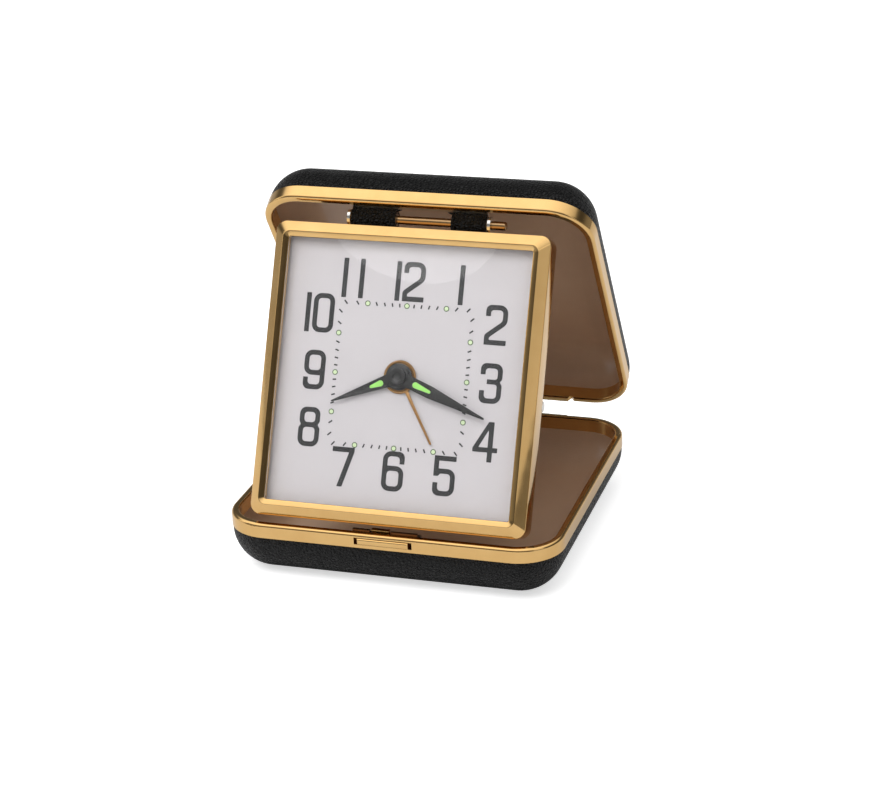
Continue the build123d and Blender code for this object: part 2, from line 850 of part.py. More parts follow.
def alarm_wheel():
    bore = hour_tube_radius + running_fit
    tube = arbor(0, 0, alarm_level - wheel_thickness, alarm_hand_level + hand_thickness, alarm_tube_radius)
    tube += gear(0, 0, alarm_level, alarm_wheel_radius, alarm_teeth)
    return tube - arbor(0, 0, alarm_level - 2 * wheel_thickness, cap_level, bore)


def third_wheel():
    stem = arbor(0, third_y, bridge_level - pivot_length, plate_back + pivot_length, pivot_radius)
    stem += gear(0, third_y, third_level, third_wheel_radius, third_wheel_teeth)
    return stem + gear(0, third_y, center_level, third_pinion_radius, third_pinion_teeth)


def rotor():
    stem = arbor(0, rotor_y, bridge_level - pivot_length, plate_back + pivot_length, pivot_radius)
    stem += arbor(0, rotor_y, rotor_level - rotor_length, rotor_level, rotor_radius)
    return stem + gear(0, rotor_y, third_level, rotor_pinion_radius, rotor_pinion_teeth)


def stator():
    level = rotor_level - rotor_length / 2 - stator_thickness / 2
    y = head_middle + rotor_y
    plate = block(-stator_length / 2, stator_length / 2, y - stator_width / 2, y + stator_width / 2,
                  level, level + stator_thickness)
    for side in (-1, 1):
        x0, x1 = sorted((side * stator_length / 2, side * (stator_length / 2 - coil_flange_radius)))
        plate += block(x0, x1, y, head_middle + coil_y + coil_core_radius, level, level + stator_thickness)
    return plate - arbor(0, rotor_y, level - overrun, level + 2 * overrun, rotor_radius + stator_gap)


def coil_level():
    return rotor_level - rotor_length / 2 + stator_thickness / 2 + coil_core_radius


def coil():
    y, z = head_middle + coil_y, coil_level()
    winding = bar_along_x(-coil_length / 2, coil_length / 2, y, z, coil_radius)
    for side in (-1, 1):
        x0, x1 = sorted((side * coil_length / 2, side * (coil_length / 2 - coil_flange_thickness)))
        winding += bar_along_x(x0, x1, y, z, coil_flange_radius)
    return winding - bar_along_x(-stator_length, stator_length, y, z, coil_core_radius)


def coil_core():
    half = stator_length / 2
    return bar_along_x(-half, half, head_middle + coil_y, coil_level(), coil_core_radius)


def circuit_board():
    board = block(-board_width / 2, board_width / 2, head_middle + bridge_bottom,
                  head_middle + bridge_bottom + board_height, board_level - board_thickness, board_level)
    for x in (motion_span, -alarm_span):
        board -= arbor(x, 0, board_level - 2 * board_thickness, board_level + overrun, shaft_radius + body_gap)
    return board


def board_chip():
    y = head_middle + third_y
    level = board_level - board_thickness
    half = chip_size / 2
    return block(-half, half, y - half, y + half, level - chip_height, level)


def crystal_can():
    level = board_level - board_thickness - crystal_can_radius
    return bar_along_x(-crystal_can_length / 2, crystal_can_length / 2, head_middle - chip_size, level,
                       crystal_can_radius)


# Rear case and controls
def rear_form(inset):
    form = slab(rear_width - 2 * inset, rear_height - 2 * inset, rear_corner - inset,
                rear_level + inset, back_level, head_middle)
    return fillet(form.faces().sort_by(Axis.Z)[0].edges(), rear_edge - inset)


def switch_slot():
    half = switch_travel / 2 + switch_knob_length / 2
    return block(switch_x - switch_slot_width / 2, switch_x + switch_slot_width / 2,
                 head_middle + switch_y - half, head_middle + switch_y + half,
                 rear_level - overrun, rear_inside + overrun)


def sound_holes():
    holes = [arbor(0, buzzer_height, rear_level - overrun, rear_inside + overrun, sound_hole_radius)]
    for k in range(sound_hole_count):
        angle = math.tau * k / sound_hole_count
        holes.append(arbor(sound_hole_ring * math.cos(angle), buzzer_height + sound_hole_ring * math.sin(angle),
                           rear_level - overrun, rear_inside + overrun, sound_hole_radius))
    return holes


def door_recess():
    y = head_middle + battery_y
    half = door_width / 2 + door_fit
    recess = block(-rear_width, door_length / 2 + door_fit, y - half, y + half,
                   rear_level - overrun, rear_level + door_thickness)
    return recess + block(-door_opening_length / 2, door_opening_length / 2, y - door_opening_width / 2,
                          y + door_opening_width / 2, rear_level - overrun, rear_inside + overrun)


def end_rib(distance, side):
    """A rib across the battery compartment that backs a contact."""
    x0, x1 = sorted((side * distance, side * (distance + compartment_rib)))
    y = head_middle + battery_y
    return block(x0, x1, y - contact_height / 2, y + battery_radius + body_gap, rear_inside, back_level)


def rear_case():
    inset = rear_wall
    flange_inset = 2 * (bezel_thickness + flange_fit)
    flange = slab(head_width - flange_inset, head_height - flange_inset, head_corner - bezel_thickness,
                  back_level, back_level + flange_thickness, head_middle)
    hollow = slab(rear_width - 2 * inset, rear_height - 2 * inset, rear_corner - inset,
                  rear_inside, back_level + flange_thickness + overrun, head_middle)
    case = rear_form(0) + flange - hollow
    rib_top = head_middle + battery_y + battery_radius + body_gap + compartment_rib
    case += block(-rear_width / 2 + inset, rear_width / 2 - inset, rib_top - compartment_rib, rib_top,
                  rear_inside, back_level)
    case += end_rib(battery_end + contact_thickness, 1)
    case += end_rib(battery_end + spring_length + contact_thickness, -1)
    for x, y in corner_places():
        head_top = rear_level + screw_head_height
        case += arbor(x, y, rear_inside, plate_back, boss_radius)
        case -= arbor(x, y, rear_level - overrun, plate_back + overrun, screw_radius + running_fit)
        case -= arbor(x, y, rear_level - overrun, head_top, screw_head_radius + running_fit)
    for x in (motion_span, -alarm_span):
        case -= arbor(x, 0, rear_level - overrun, rear_inside + overrun, shaft_radius + running_fit)
    for hole in sound_holes():
        case -= hole
    return case - switch_slot() - door_recess()


def case_screws():
    screws = []
    for x, y in corner_places():
        screw = arbor(x, y, rear_level + screw_head_height, plate_front - overrun / 2, screw_radius)
        screw += arbor(x, y, rear_level, rear_level + screw_head_height, screw_head_radius)
        slot = block(-screw_head_radius, screw_head_radius, -screw_slot_width / 2, screw_slot_width / 2,
                     rear_level - overrun, rear_level + screw_slot_depth)
        screw -= Pos(x, head_middle + y) * slot
        screws.append(screw)
    return Compound(screws)


def knob(x, radius):
    top = rear_level - body_gap
    return toothed_disc(x, head_middle, top - knob_height, top, radius, knob_teeth, knob_tooth_height)


def time_setter():
    """The knob, its shaft and the minute work that the shaft turns."""
    stem = arbor(motion_span, 0, rear_level - body_gap, motion_level, shaft_radius)
    stem += arbor(motion_span, 0, motion_level, plate_back + pivot_length, pivot_radius)
    stem += gear(motion_span, 0, motion_level, motion_wheel_radius, motion_wheel_teeth)
    return stem + gear(motion_span, 0, hour_level, motion_pinion_radius, motion_pinion_teeth)


def alarm_setter():
    stem = arbor(-alarm_span, 0, rear_level - body_gap, alarm_level, shaft_radius)
    stem += arbor(-alarm_span, 0, alarm_level, plate_back + pivot_length, pivot_radius)
    return stem + gear(-alarm_span, 0, alarm_level, alarm_pinion_radius, alarm_pinion_teeth)


def buzzer():
    return arbor(0, buzzer_height, rear_inside, rear_inside + buzzer_thickness, buzzer_radius)


def alarm_switch():
    """A slider on the rear wall, held by a flange inside it, shown at the end of its slot."""
    y = head_middle + switch_y - switch_travel / 2
    half = switch_knob_length / 2
    stem = switch_slot_width / 2 - running_fit
    knob_top = rear_level - body_gap / 2
    slider = block(switch_x - switch_knob_width / 2, switch_x + switch_knob_width / 2, y - half, y + half,
                   knob_top - switch_knob_height, knob_top)
    slider += block(switch_x - stem, switch_x + stem, y - half + body_gap / 2, y + half - body_gap / 2,
                    knob_top, rear_inside + body_gap / 2)
    slider += block(switch_x - switch_flange_width / 2, switch_x + switch_flange_width / 2, y - half, y + half,
                    rear_inside + body_gap / 2, rear_inside + body_gap / 2 + switch_flange_thickness)
    return slider


# Battery and its contacts
def battery():
    y = head_middle + battery_y
    left = -(battery_length + battery_nub_length) / 2
    cell = bar_along_x(left, left + battery_length, y, battery_z, battery_radius)
    cell += bar_along_x(left + battery_length, left + battery_length + battery_nub_length, y, battery_z,
                        battery_nub_radius)
    return cell


def contact_plate(x0, x1):
    y = head_middle + battery_y
    half = contact_height / 2
    return block(x0, x1, y - half, y + half, rear_inside, battery_z + half)


def plus_contact():
    return contact_plate(battery_end, battery_end + contact_thickness)


def minus_contact():
    x = -battery_end - spring_length
    return contact_plate(x - contact_thickness, x)


def contact_spring():
    helix = Helix(spring_length / spring_turns, spring_length - 2 * spring_wire_radius, spring_turn_radius)
    wire = Plane(origin=helix @ 0, z_dir=helix % 0) * Circle(spring_wire_radius)
    coil_form = sweep(wire, path=helix, is_frenet=True)
    place = Pos(-battery_end - spring_length + spring_wire_radius, head_middle + battery_y, battery_z)
    return place * Rot(0, 90, 0) * coil_form


def battery_door():
    y = head_middle + battery_y
    door = block(-door_length / 2, door_length / 2, y - door_width / 2, y + door_width / 2,
                 rear_level, rear_level + door_thickness - running_fit)
    for k in range(door_grip_count):
        x = door_length / 2 - (k + 2) * door_grip_pitch
        door -= block(x - door_grip_width, x, y - door_width / 4, y + door_width / 4,
                      rear_level - overrun, rear_level + door_grip_depth)
    return door


def write_case_half(side, place):
    write(side + "_cover", place(layer(cover_setback, cover_thickness)))
    write(side + "_pan", place(layer(cover_setback + cover_thickness, pan_thickness)))
    write(side + "_lining", place(layer(cover_setback + cover_thickness + pan_thickness, lining_thickness)))
    rim = case_rim()
    for bore in rivet_bores():
        rim -= bore
    if side == "base":
        rim -= bar_slot()
    else:
        rim -= catch_groove()
        for cut in rim_notches() + strap_bores(2 * shell_height - strap_rivet_z):
            rim -= cut
    write(side + "_rim", place(rim))
    write(side + "_hinge_rivets", Compound([place(r) for r in leaf_rivets()]))


def write_case():
    write_case_half("base", lambda shape: shape)
    write_case_half("lid", flip_to_lid)
    write("base_hinge_leaf", base_leaf())
    half = lid_knuckle_length / 2
    write("lid_hinge_leaf", flip_to_lid(hinge_leaf([(-half, half)])))
    write("hinge_pin", hinge_pin())
    write("latch_plate", latch_plate())
    write("push_bar", push_bar())
    write("latch_keeper", latch_keeper())
    write("latch_spring", latch_spring())
    write("strap_core", strap_core())
    write("strap_cover", strap_covers())
    write("strap_rivets", strap_rivets())


def write_clock_head():
    makers = {
        "hinge_rod": rod, "head_bracket": head_bracket, "bezel": bezel, "crystal": crystal, "dial": dial,
        "hour_hand": hour_hand, "minute_hand": minute_hand, "alarm_hand": alarm_hand, "hand_cap": hand_cap,
        "movement_plate": movement_plate, "train_bridge": train_bridge, "minute_arbor": minute_arbor,
        "hour_wheel": hour_wheel, "alarm_wheel": alarm_wheel, "third_wheel": third_wheel, "rotor": rotor,
        "stator": stator, "coil": coil, "coil_core": coil_core, "circuit_board": circuit_board,
        "board_chip": board_chip, "crystal_can": crystal_can, "rear_case": rear_case,
        "case_screws": case_screws, "time_setter": time_setter, "alarm_setter": alarm_setter,
        "buzzer": buzzer, "alarm_switch": alarm_switch, "battery": battery, "battery_door": battery_door,
        "plus_contact": plus_contact, "minus_contact": minus_contact, "contact_spring": contact_spring,
    }
    for name, maker in makers.items():
        write_head(name, maker())
    write_head("time_knob", knob(motion_span, time_knob_radius))
    write_head("alarm_knob", knob(-alarm_span, alarm_knob_radius))
    write_head("hour_lume", lume_insert(hour_lume_length, hour_hand_level, hour_hand_angle))
    write_head("minute_lume", lume_insert(minute_lume_length, minute_hand_level, minute_hand_angle))


os.makedirs("parts", exist_ok=True)
write_case()
write_clock_head()
print("lean", round(math.degrees(lean), 3), "rod", round(rod_y, 3), round(rod_z, 3))
print("head middle", round(head_middle, 3), "levels", round(ridge_level, 3), round(rear_level, 3))
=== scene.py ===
import json
import math

import bmesh
import bpy
from mathutils import Matrix, Vector


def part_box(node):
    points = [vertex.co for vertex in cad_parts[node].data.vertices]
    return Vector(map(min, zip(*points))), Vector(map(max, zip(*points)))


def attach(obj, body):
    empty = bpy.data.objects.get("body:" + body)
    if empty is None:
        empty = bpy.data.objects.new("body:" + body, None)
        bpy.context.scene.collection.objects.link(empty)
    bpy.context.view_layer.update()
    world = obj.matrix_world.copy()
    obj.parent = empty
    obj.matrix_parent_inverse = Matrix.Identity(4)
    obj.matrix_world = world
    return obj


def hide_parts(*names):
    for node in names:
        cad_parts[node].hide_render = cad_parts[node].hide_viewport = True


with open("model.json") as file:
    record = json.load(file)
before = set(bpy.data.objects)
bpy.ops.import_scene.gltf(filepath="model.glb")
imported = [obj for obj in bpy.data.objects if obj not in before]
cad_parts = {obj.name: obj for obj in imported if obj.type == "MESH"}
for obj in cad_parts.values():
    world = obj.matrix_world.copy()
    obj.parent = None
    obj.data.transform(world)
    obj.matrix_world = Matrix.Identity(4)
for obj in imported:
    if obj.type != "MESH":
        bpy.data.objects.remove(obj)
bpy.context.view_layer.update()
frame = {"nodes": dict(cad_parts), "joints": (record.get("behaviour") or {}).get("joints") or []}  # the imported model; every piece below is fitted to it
print("frame loaded:", len(frame["nodes"]), "nodes")

mm = 0.001


# Places in the clock head: x to the right, y up along the head, z out of the dial, in millimetres
def jointAxis(name):
    return next(Vector(joint["axis"]) for joint in frame["joints"] if joint["name"] == name)


def headMatrix():
    inward = jointAxis("minute_spin")
    low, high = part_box("hinge_rod")
    up = Vector((0, -inward.z, inward.y))
    turn = Matrix((Vector((1, 0, 0)), up, -inward)).transposed().to_4x4()
    rod = Vector((0, (low.y + high.y) / 2, (low.z + high.z) / 2))
    return Matrix.Translation(rod + up * headLayout["middle"] * mm) @ turn @ Matrix.Scale(mm, 4)


headLayout = {
    "middle": -36.37,       # the dial's middle below the rod
    "dialLevel": 4.2,       # the dial's face in front of the rod
    "edgeLevel": 7.0,       # the crystal's edge
    "ridgeLevel": 7.5,      # the bezel's highest line
    "footLevel": 5.6,       # where the outer facet meets the side
    "backLevel": 0.4,       # the bezel's rear edge
    "lipLevel": 5.4,
    "crystalWidth": 58.2,
    "crystalHeight": 60.8,
}
headPlace = headMatrix()


# Node trees
def addNode(tree, kind, inputs=None, **settings):
    node = tree.nodes.new(kind)
    for key, value in settings.items():
        setattr(node, key, value)
    for key, value in (inputs or {}).items():
        node.inputs[key].default_value = value
    return node


# A node group with named float inputs, a Vector input and float outputs.
def newGroup(name, inputs, outputs):
    group = bpy.data.node_groups.new(name, "ShaderNodeTree")
    group.interface.new_socket(name="Vector", in_out="INPUT", socket_type="NodeSocketVector")
    for label, value in inputs.items():
        socket = group.interface.new_socket(name=label, in_out="INPUT", socket_type="NodeSocketFloat")
        socket.default_value = value
    for label in outputs:
        group.interface.new_socket(name=label, in_out="OUTPUT", socket_type="NodeSocketFloat")
    return group, group.nodes.new("NodeGroupInput"), group.nodes.new("NodeGroupOutput")


def mathNode(tree, operation, first, second=None, clamp=False):
    node = addNode(tree, "ShaderNodeMath", operation=operation, use_clamp=clamp)
    for slotIndex, value in enumerate((first, second)):
        if value is None:
            continue
        if isinstance(value, (int, float)):
            node.inputs[slotIndex].default_value = value
        else:
            tree.links.new(value, node.inputs[slotIndex])
    return node.outputs[0]


def rangeNode(tree, value, low, high, toLow, toHigh):
    node = addNode(tree, "ShaderNodeMapRange", {"From Min": low, "From Max": high, "To Min": toLow,
                                                "To Max": toHigh})
    tree.links.new(value, node.inputs["Value"])
    return node.outputs["Result"]


def noiseNode(tree, vector, scale, detail=3.0, rough=0.55):
    node = addNode(tree, "ShaderNodeTexNoise", {"Detail": detail, "Roughness": rough})
    tree.links.new(vector, node.inputs["Vector"])
    if isinstance(scale, (int, float)):
        node.inputs["Scale"].default_value = scale
    else:
        tree.links.new(scale, node.inputs["Scale"])
    return node.outputs["Fac"]


# Leather cloth: rounded pebbles of uneven size with creases between them and fine pores
def makeGrainGroup():
    group, given, out = newGroup("leatherGrain", {"Cells": 2200.0}, ("Height", "CreaseShade", "Pores"))
    links = group.links
    warp = addNode(group, "ShaderNodeTexNoise", {"Detail": 2.0})
    links.new(given.outputs["Vector"], warp.inputs["Vector"])
    links.new(mathNode(group, "MULTIPLY", given.outputs["Cells"], 0.45), warp.inputs["Scale"])
    bend = addNode(group, "ShaderNodeVectorMath", operation="SCALE")
    bend.inputs["Scale"].default_value = 0.00035
    links.new(warp.outputs["Color"], bend.inputs[0])
    moved = addNode(group, "ShaderNodeVectorMath", operation="ADD")
    links.new(given.outputs["Vector"], moved.inputs[0])
    links.new(bend.outputs[0], moved.inputs[1])
    cells = addNode(group, "ShaderNodeTexVoronoi", {"Randomness": 0.9}, feature="DISTANCE_TO_EDGE")
    links.new(moved.outputs[0], cells.inputs["Vector"])
    links.new(given.outputs["Cells"], cells.inputs["Scale"])
    pebble = rangeNode(group, cells.outputs["Distance"], 0.0, 0.32, 0.0, 1.0)
    swell = noiseNode(group, given.outputs["Vector"], 420.0, 2.0)
    poreScale = mathNode(group, "MULTIPLY", given.outputs["Cells"], 3.2)
    pores = noiseNode(group, given.outputs["Vector"], poreScale, 2.0)
    height = mathNode(group, "ADD", mathNode(group, "MULTIPLY", pebble, 0.62),
                      mathNode(group, "MULTIPLY", swell, 0.5))
    links.new(mathNode(group, "ADD", height, mathNode(group, "MULTIPLY", pores, 0.16)), out.inputs["Height"])
    # The crease mask darkens the leather's colour between the pebbles with painted shade
    links.new(mathNode(group, "SUBTRACT", 1.0, pebble), out.inputs["CreaseShade"])
    links.new(pores, out.inputs["Pores"])
    return group


# Polish: cloudy handling marks, hairline scratches and a slow ripple of the sheet
def makePolishGroup():
    group, given, out = newGroup("polishMarks", {"Size": 160.0}, ("Cloud", "Hairlines", "Ripple"))
    links = group.links
    cloud = noiseNode(group, given.outputs["Vector"], given.outputs["Size"], 4.0, 0.6)
    stretch = addNode(group, "ShaderNodeMapping", {"Scale": (5200.0, 260.0, 5200.0),
                                                   "Rotation": (0.3, 0.2, 0.6)})
    links.new(given.outputs["Vector"], stretch.inputs["Vector"])
    lines = addNode(group, "ShaderNodeTexNoise", {"Scale": 1.0, "Detail": 2.0})
    links.new(stretch.outputs["Vector"], lines.inputs["Vector"])
    hair = rangeNode(group, lines.outputs["Fac"], 0.62, 0.74, 0.0, 1.0)
    rippleScale = mathNode(group, "MULTIPLY", given.outputs["Size"], 0.7)
    ripple = noiseNode(group, given.outputs["Vector"], rippleScale, 1.0)
    links.new(cloud, out.inputs["Cloud"])
    links.new(hair, out.inputs["Hairlines"])
    links.new(ripple, out.inputs["Ripple"])
    return group


# Moulded or painted skin: fine orange peel, slow mottling and sparse dust
def makeSkinGroup():
    group, given, out = newGroup("mouldedSkin", {"Peel": 3500.0}, ("Peel", "Mottle", "Dust"))
    links = group.links
    peel = noiseNode(group, given.outputs["Vector"], given.outputs["Peel"], 2.0)
    mottle = noiseNode(group, given.outputs["Vector"], 130.0, 4.0, 0.6)
    specks = addNode(group, "ShaderNodeTexVoronoi", {"Scale": 900.0, "Randomness": 1.0}, feature="F1")
    links.new(given.outputs["Vector"], specks.inputs["Vector"])
    dust = rangeNode(group, specks.outputs["Distance"], 0.05, 0.1, 1.0, 0.0)
    links.new(peel, out.inputs["Peel"])
    links.new(mottle, out.inputs["Mottle"])
    links.new(dust, out.inputs["Dust"])
    return group


# Fine turning or rolling lines across one direction
def makeLinesGroup():
    group, given, out = newGroup("toolLines", {"Lines": 4000.0}, ("Lines", "Cloud"))
    links = group.links
    scale = addNode(group, "ShaderNodeCombineXYZ")
    links.new(mathNode(group, "MULTIPLY", given.outputs["Lines"], 0.03), scale.inputs["X"])
    links.new(given.outputs["Lines"], scale.inputs["Y"])
    links.new(given.outputs["Lines"], scale.inputs["Z"])
    stretched = addNode(group, "ShaderNodeVectorMath", operation="MULTIPLY")
    links.new(given.outputs["Vector"], stretched.inputs[0])
    links.new(scale.outputs["Vector"], stretched.inputs[1])
    lines = noiseNode(group, stretched.outputs[0], 1.0, 3.0)
    cloud = noiseNode(group, given.outputs["Vector"], 240.0, 3.0)
    links.new(lines, out.inputs["Lines"])
    links.new(cloud, out.inputs["Cloud"])
    return group


effectGroups = {
    "grain": makeGrainGroup(),
    "polish": makePolishGroup(),
    "skin": makeSkinGroup(),
    "lines": makeLinesGroup(),
}
print("effect groups built")


def newMaterial(name, shaderValues):
    material = bpy.data.materials.new(name)
    material.use_nodes = True
    tree = material.node_tree
    shader = tree.nodes["Principled BSDF"]
    for key, value in shaderValues.items():
        shader.inputs[key].default_value = value
    coords = addNode(tree, "ShaderNodeTexCoord")
    return material, tree, shader, coords.outputs["Object"]


def effectNode(tree, effect, vector, values=None):
    node = addNode(tree, "ShaderNodeGroup", node_tree=effectGroups[effect])
    for key, value in (values or {}).items():
        node.inputs[key].default_value = value
    tree.links.new(vector, node.inputs["Vector"])
    return node.outputs


def colourMix(tree, factor, first, second):
    mix = addNode(tree, "ShaderNodeMix", data_type="RGBA")
    mix.inputs[6].default_value = (*first, 1)
    mix.inputs[7].default_value = (*second, 1)
    tree.links.new(factor, mix.inputs[0])
    return mix.outputs[2]


def bumpNode(tree, height, distance, strength=1.0):
    bump = addNode(tree, "ShaderNodeBump", {"Strength": strength, "Distance": distance})
    tree.links.new(height, bump.inputs["Height"])
    return bump.outputs["Normal"]


def leatherMaterial(name, look):
    material, tree, shader, place = newMaterial(name, {"Specular IOR Level": look["shine"]})
    grain = effectNode(tree, "grain", place, {"Cells": look["cells"]})
    # Painted shade: the colour goes from the ridge colour to the darker crease colour in the grain's creases,
    # where shade falls
    colour = colourMix(tree, grain["CreaseShade"], look["ridge"], look["creaseShade"])
    tree.links.new(colour, shader.inputs["Base Color"])
    rough = rangeNode(tree, grain["Pores"], 0.3, 0.7, look["roughLow"], look["roughHigh"])
    tree.links.new(rough, shader.inputs["Roughness"])
    tree.links.new(bumpNode(tree, grain["Height"], look["depth"]), shader.inputs["Normal"])
    return material


def metalMaterial(name, look):
    material, tree, shader, place = newMaterial(name, {"Metallic": 1.0})
    marks = effectNode(tree, "polish", place, {"Size": look.get("size", 160.0)})
    tree.links.new(colourMix(tree, marks["Cloud"], look["dark"], look["light"]), shader.inputs["Base Color"])
    cloudy = rangeNode(tree, marks["Cloud"], 0.3, 0.75, look["roughLow"], look["roughHigh"])
    scratches = mathNode(tree, "MULTIPLY", marks["Hairlines"], look["hairlines"])
    scratched = mathNode(tree, "ADD", cloudy, scratches)
    tree.links.new(scratched, shader.inputs["Roughness"])
    relief = mathNode(tree, "SUBTRACT", marks["Ripple"],
                      mathNode(tree, "MULTIPLY", marks["Hairlines"], look.get("scratchDepth", 0.01)))
    tree.links.new(bumpNode(tree, relief, look["ripple"]), shader.inputs["Normal"])
    return material


def turnedMaterial(name, look):
    material, tree, shader, place = newMaterial(name, {"Metallic": look.get("metallic", 1.0)})
    lines = effectNode(tree, "lines", place, {"Lines": look.get("lines", 4000.0)})
    tree.links.new(colourMix(tree, lines["Cloud"], look["dark"], look["light"]), shader.inputs["Base Color"])
    rough = rangeNode(tree, lines["Lines"], 0.3, 0.7, look["roughLow"], look["roughHigh"])
    tree.links.new(rough, shader.inputs["Roughness"])
    tree.links.new(bumpNode(tree, lines["Lines"], look["depth"]), shader.inputs["Normal"])
    return material


def paintMaterial(name, look):
    material, tree, shader, place = newMaterial(name, {"Specular IOR Level": look.get("shine", 0.5)})
    if "coat" in look:
        shader.inputs["Coat Weight"].default_value = look["coat"]
        shader.inputs["Coat Roughness"].default_value = look["coatRough"]
    skin = effectNode(tree, "skin", place, {"Peel": look.get("peel", 3500.0)})
    tone = addNode(tree, "ShaderNodeMix", data_type="RGBA")
    tone.inputs[7].default_value = (*look["dust"], 1)
    tree.links.new(colourMix(tree, skin["Mottle"], look["dark"], look["light"]), tone.inputs[6])
    tree.links.new(mathNode(tree, "MULTIPLY", skin["Dust"], look.get("dustAmount", 0.1)), tone.inputs[0])
    tree.links.new(tone.outputs[2], shader.inputs["Base Color"])
    rough = rangeNode(tree, skin["Mottle"], 0.3, 0.7, look["roughLow"], look["roughHigh"])
    tree.links.new(rough, shader.inputs["Roughness"])
    tree.links.new(bumpNode(tree, skin["Peel"], look["depth"]), shader.inputs["Normal"])
    return material


# Clear plastic that lets the lamps through to the dial.
def crystalMaterial(name, look):
    material, tree, shader, place = newMaterial(name, {
        "Base Color": (*look["tint"], 1), "Transmission Weight": 1.0, "IOR": look["ior"]})
    skin = effectNode(tree, "skin", place, {"Peel": 300.0})
    rough = rangeNode(tree, skin["Mottle"], 0.35, 0.75, look["roughLow"], look["roughHigh"])
    tree.links.new(rough, shader.inputs["Roughness"])
    clear = addNode(tree, "ShaderNodeBsdfTransparent")
    path = addNode(tree, "ShaderNodeLightPath")
    mix = addNode(tree, "ShaderNodeMixShader")
    tree.links.new(path.outputs["Is Shadow Ray"], mix.inputs[0])
    tree.links.new(shader.outputs[0], mix.inputs[1])
    tree.links.new(clear.outputs[0], mix.inputs[2])
    tree.links.new(mix.outputs[0], tree.nodes["Material Output"].inputs["Surface"])
    return material


# The crease colour is painted shade, darker than the ridges in the grain's creases
leatherLook = {"ridge": (0.003, 0.003, 0.003), "creaseShade": (0.001, 0.001, 0.001), "cells": 1200.0,
               "roughLow": 0.14, "roughHigh": 0.6, "depth": 0.0016, "shine": 0.3}
goldLook = {"dark": (0.64, 0.39, 0.145), "light": (0.76, 0.50, 0.21), "roughLow": 0.06, "roughHigh": 0.13,
            "hairlines": 0.05, "ripple": 0.00004}
rodLook = {"dark": (0.40, 0.24, 0.11), "light": (0.48, 0.31, 0.16), "roughLow": 0.14, "roughHigh": 0.24,
           "hairlines": 0.1, "ripple": 0.00004}
nickelLook = {"dark": (0.76, 0.74, 0.7), "light": (0.86, 0.84, 0.8), "roughLow": 0.14, "roughHigh": 0.26,
              "hairlines": 0.1, "ripple": 0.00004}
liningLook = {"dark": (0.56, 0.36, 0.235), "light": (0.64, 0.43, 0.29), "dust": (0.66, 0.46, 0.32),
              "roughLow": 0.3, "roughHigh": 0.42, "depth": 0.00003, "peel": 2600.0, "coat": 0.5,
              "coatRough": 0.22, "dustAmount": 0.12}
dialLook = {"dark": (0.49, 0.468, 0.48), "light": (0.525, 0.5, 0.515), "dust": (0.6, 0.58, 0.58),
            "roughLow": 0.5, "roughHigh": 0.6, "depth": 0.000006, "peel": 6000.0}
inkLook = {"dark": (0.010, 0.010, 0.011), "light": (0.018, 0.018, 0.019), "dust": (0.05, 0.05, 0.05),
           "roughLow": 0.35, "roughHigh": 0.5, "depth": 0.00001, "peel": 5000.0}
handLook = {"dark": (0.008, 0.008, 0.008), "light": (0.016, 0.016, 0.016), "dust": (0.05, 0.05, 0.05),
            "roughLow": 0.25, "roughHigh": 0.36, "depth": 0.00001, "peel": 6000.0}
lumeLook = {"dark": (0.26, 0.62, 0.11), "light": (0.36, 0.76, 0.19), "dust": (0.62, 0.92, 0.42),
            "roughLow": 0.55, "roughHigh": 0.7, "depth": 0.00006, "peel": 5200.0, "dustAmount": 0.4}
paleLumeLook = {"dark": (0.5, 0.62, 0.36), "light": (0.6, 0.7, 0.46), "dust": (0.7, 0.8, 0.6),
                "roughLow": 0.6, "roughHigh": 0.7, "depth": 0.00004, "peel": 5200.0}
dotRingLook = {"dark": (0.04, 0.075, 0.03), "light": (0.07, 0.115, 0.05), "dust": (0.1, 0.15, 0.08),
               "roughLow": 0.4, "roughHigh": 0.5, "depth": 0.00001}
bronzeLook = {"dark": (0.30, 0.16, 0.06), "light": (0.40, 0.23, 0.10), "roughLow": 0.26, "roughHigh": 0.38,
              "hairlines": 0.1, "ripple": 0.00003}
platePressLook = {"dark": (0.18, 0.10, 0.06), "light": (0.27, 0.16, 0.10), "roughLow": 0.25,
                  "roughHigh": 0.38, "hairlines": 0.1, "ripple": 0.00004}
steelLook = {"dark": (0.4, 0.38, 0.36), "light": (0.52, 0.5, 0.48), "roughLow": 0.3, "roughHigh": 0.45,
             "depth": 0.00001}
wheelBrassLook = {"dark": (0.68, 0.48, 0.2), "light": (0.78, 0.58, 0.27), "roughLow": 0.2, "roughHigh": 0.34,
                  "depth": 0.000008}
magnetLook = {"dark": (0.2, 0.2, 0.21), "light": (0.3, 0.3, 0.31), "roughLow": 0.4, "roughHigh": 0.6,
              "depth": 0.00002}
copperLook = {"dark": (0.5, 0.17, 0.06), "light": (0.72, 0.32, 0.14), "roughLow": 0.24, "roughHigh": 0.4,
              "depth": 0.00004, "lines": 6000.0}
boardLook = {"dark": (0.012, 0.10, 0.035), "light": (0.02, 0.15, 0.05), "dust": (0.06, 0.3, 0.12),
             "roughLow": 0.3, "roughHigh": 0.42, "depth": 0.00003, "coat": 0.4, "coatRough": 0.2}
blackPlasticLook = {"dark": (0.014, 0.014, 0.014), "light": (0.024, 0.024, 0.024), "dust": (0.08, 0.08, 0.08),
                    "roughLow": 0.42, "roughHigh": 0.56, "depth": 0.00004, "peel": 4200.0}
knobPlasticLook = {"dark": (0.02, 0.02, 0.02), "light": (0.034, 0.034, 0.034), "dust": (0.08, 0.08, 0.08),
                   "roughLow": 0.3, "roughHigh": 0.42, "depth": 0.00002, "peel": 5200.0}
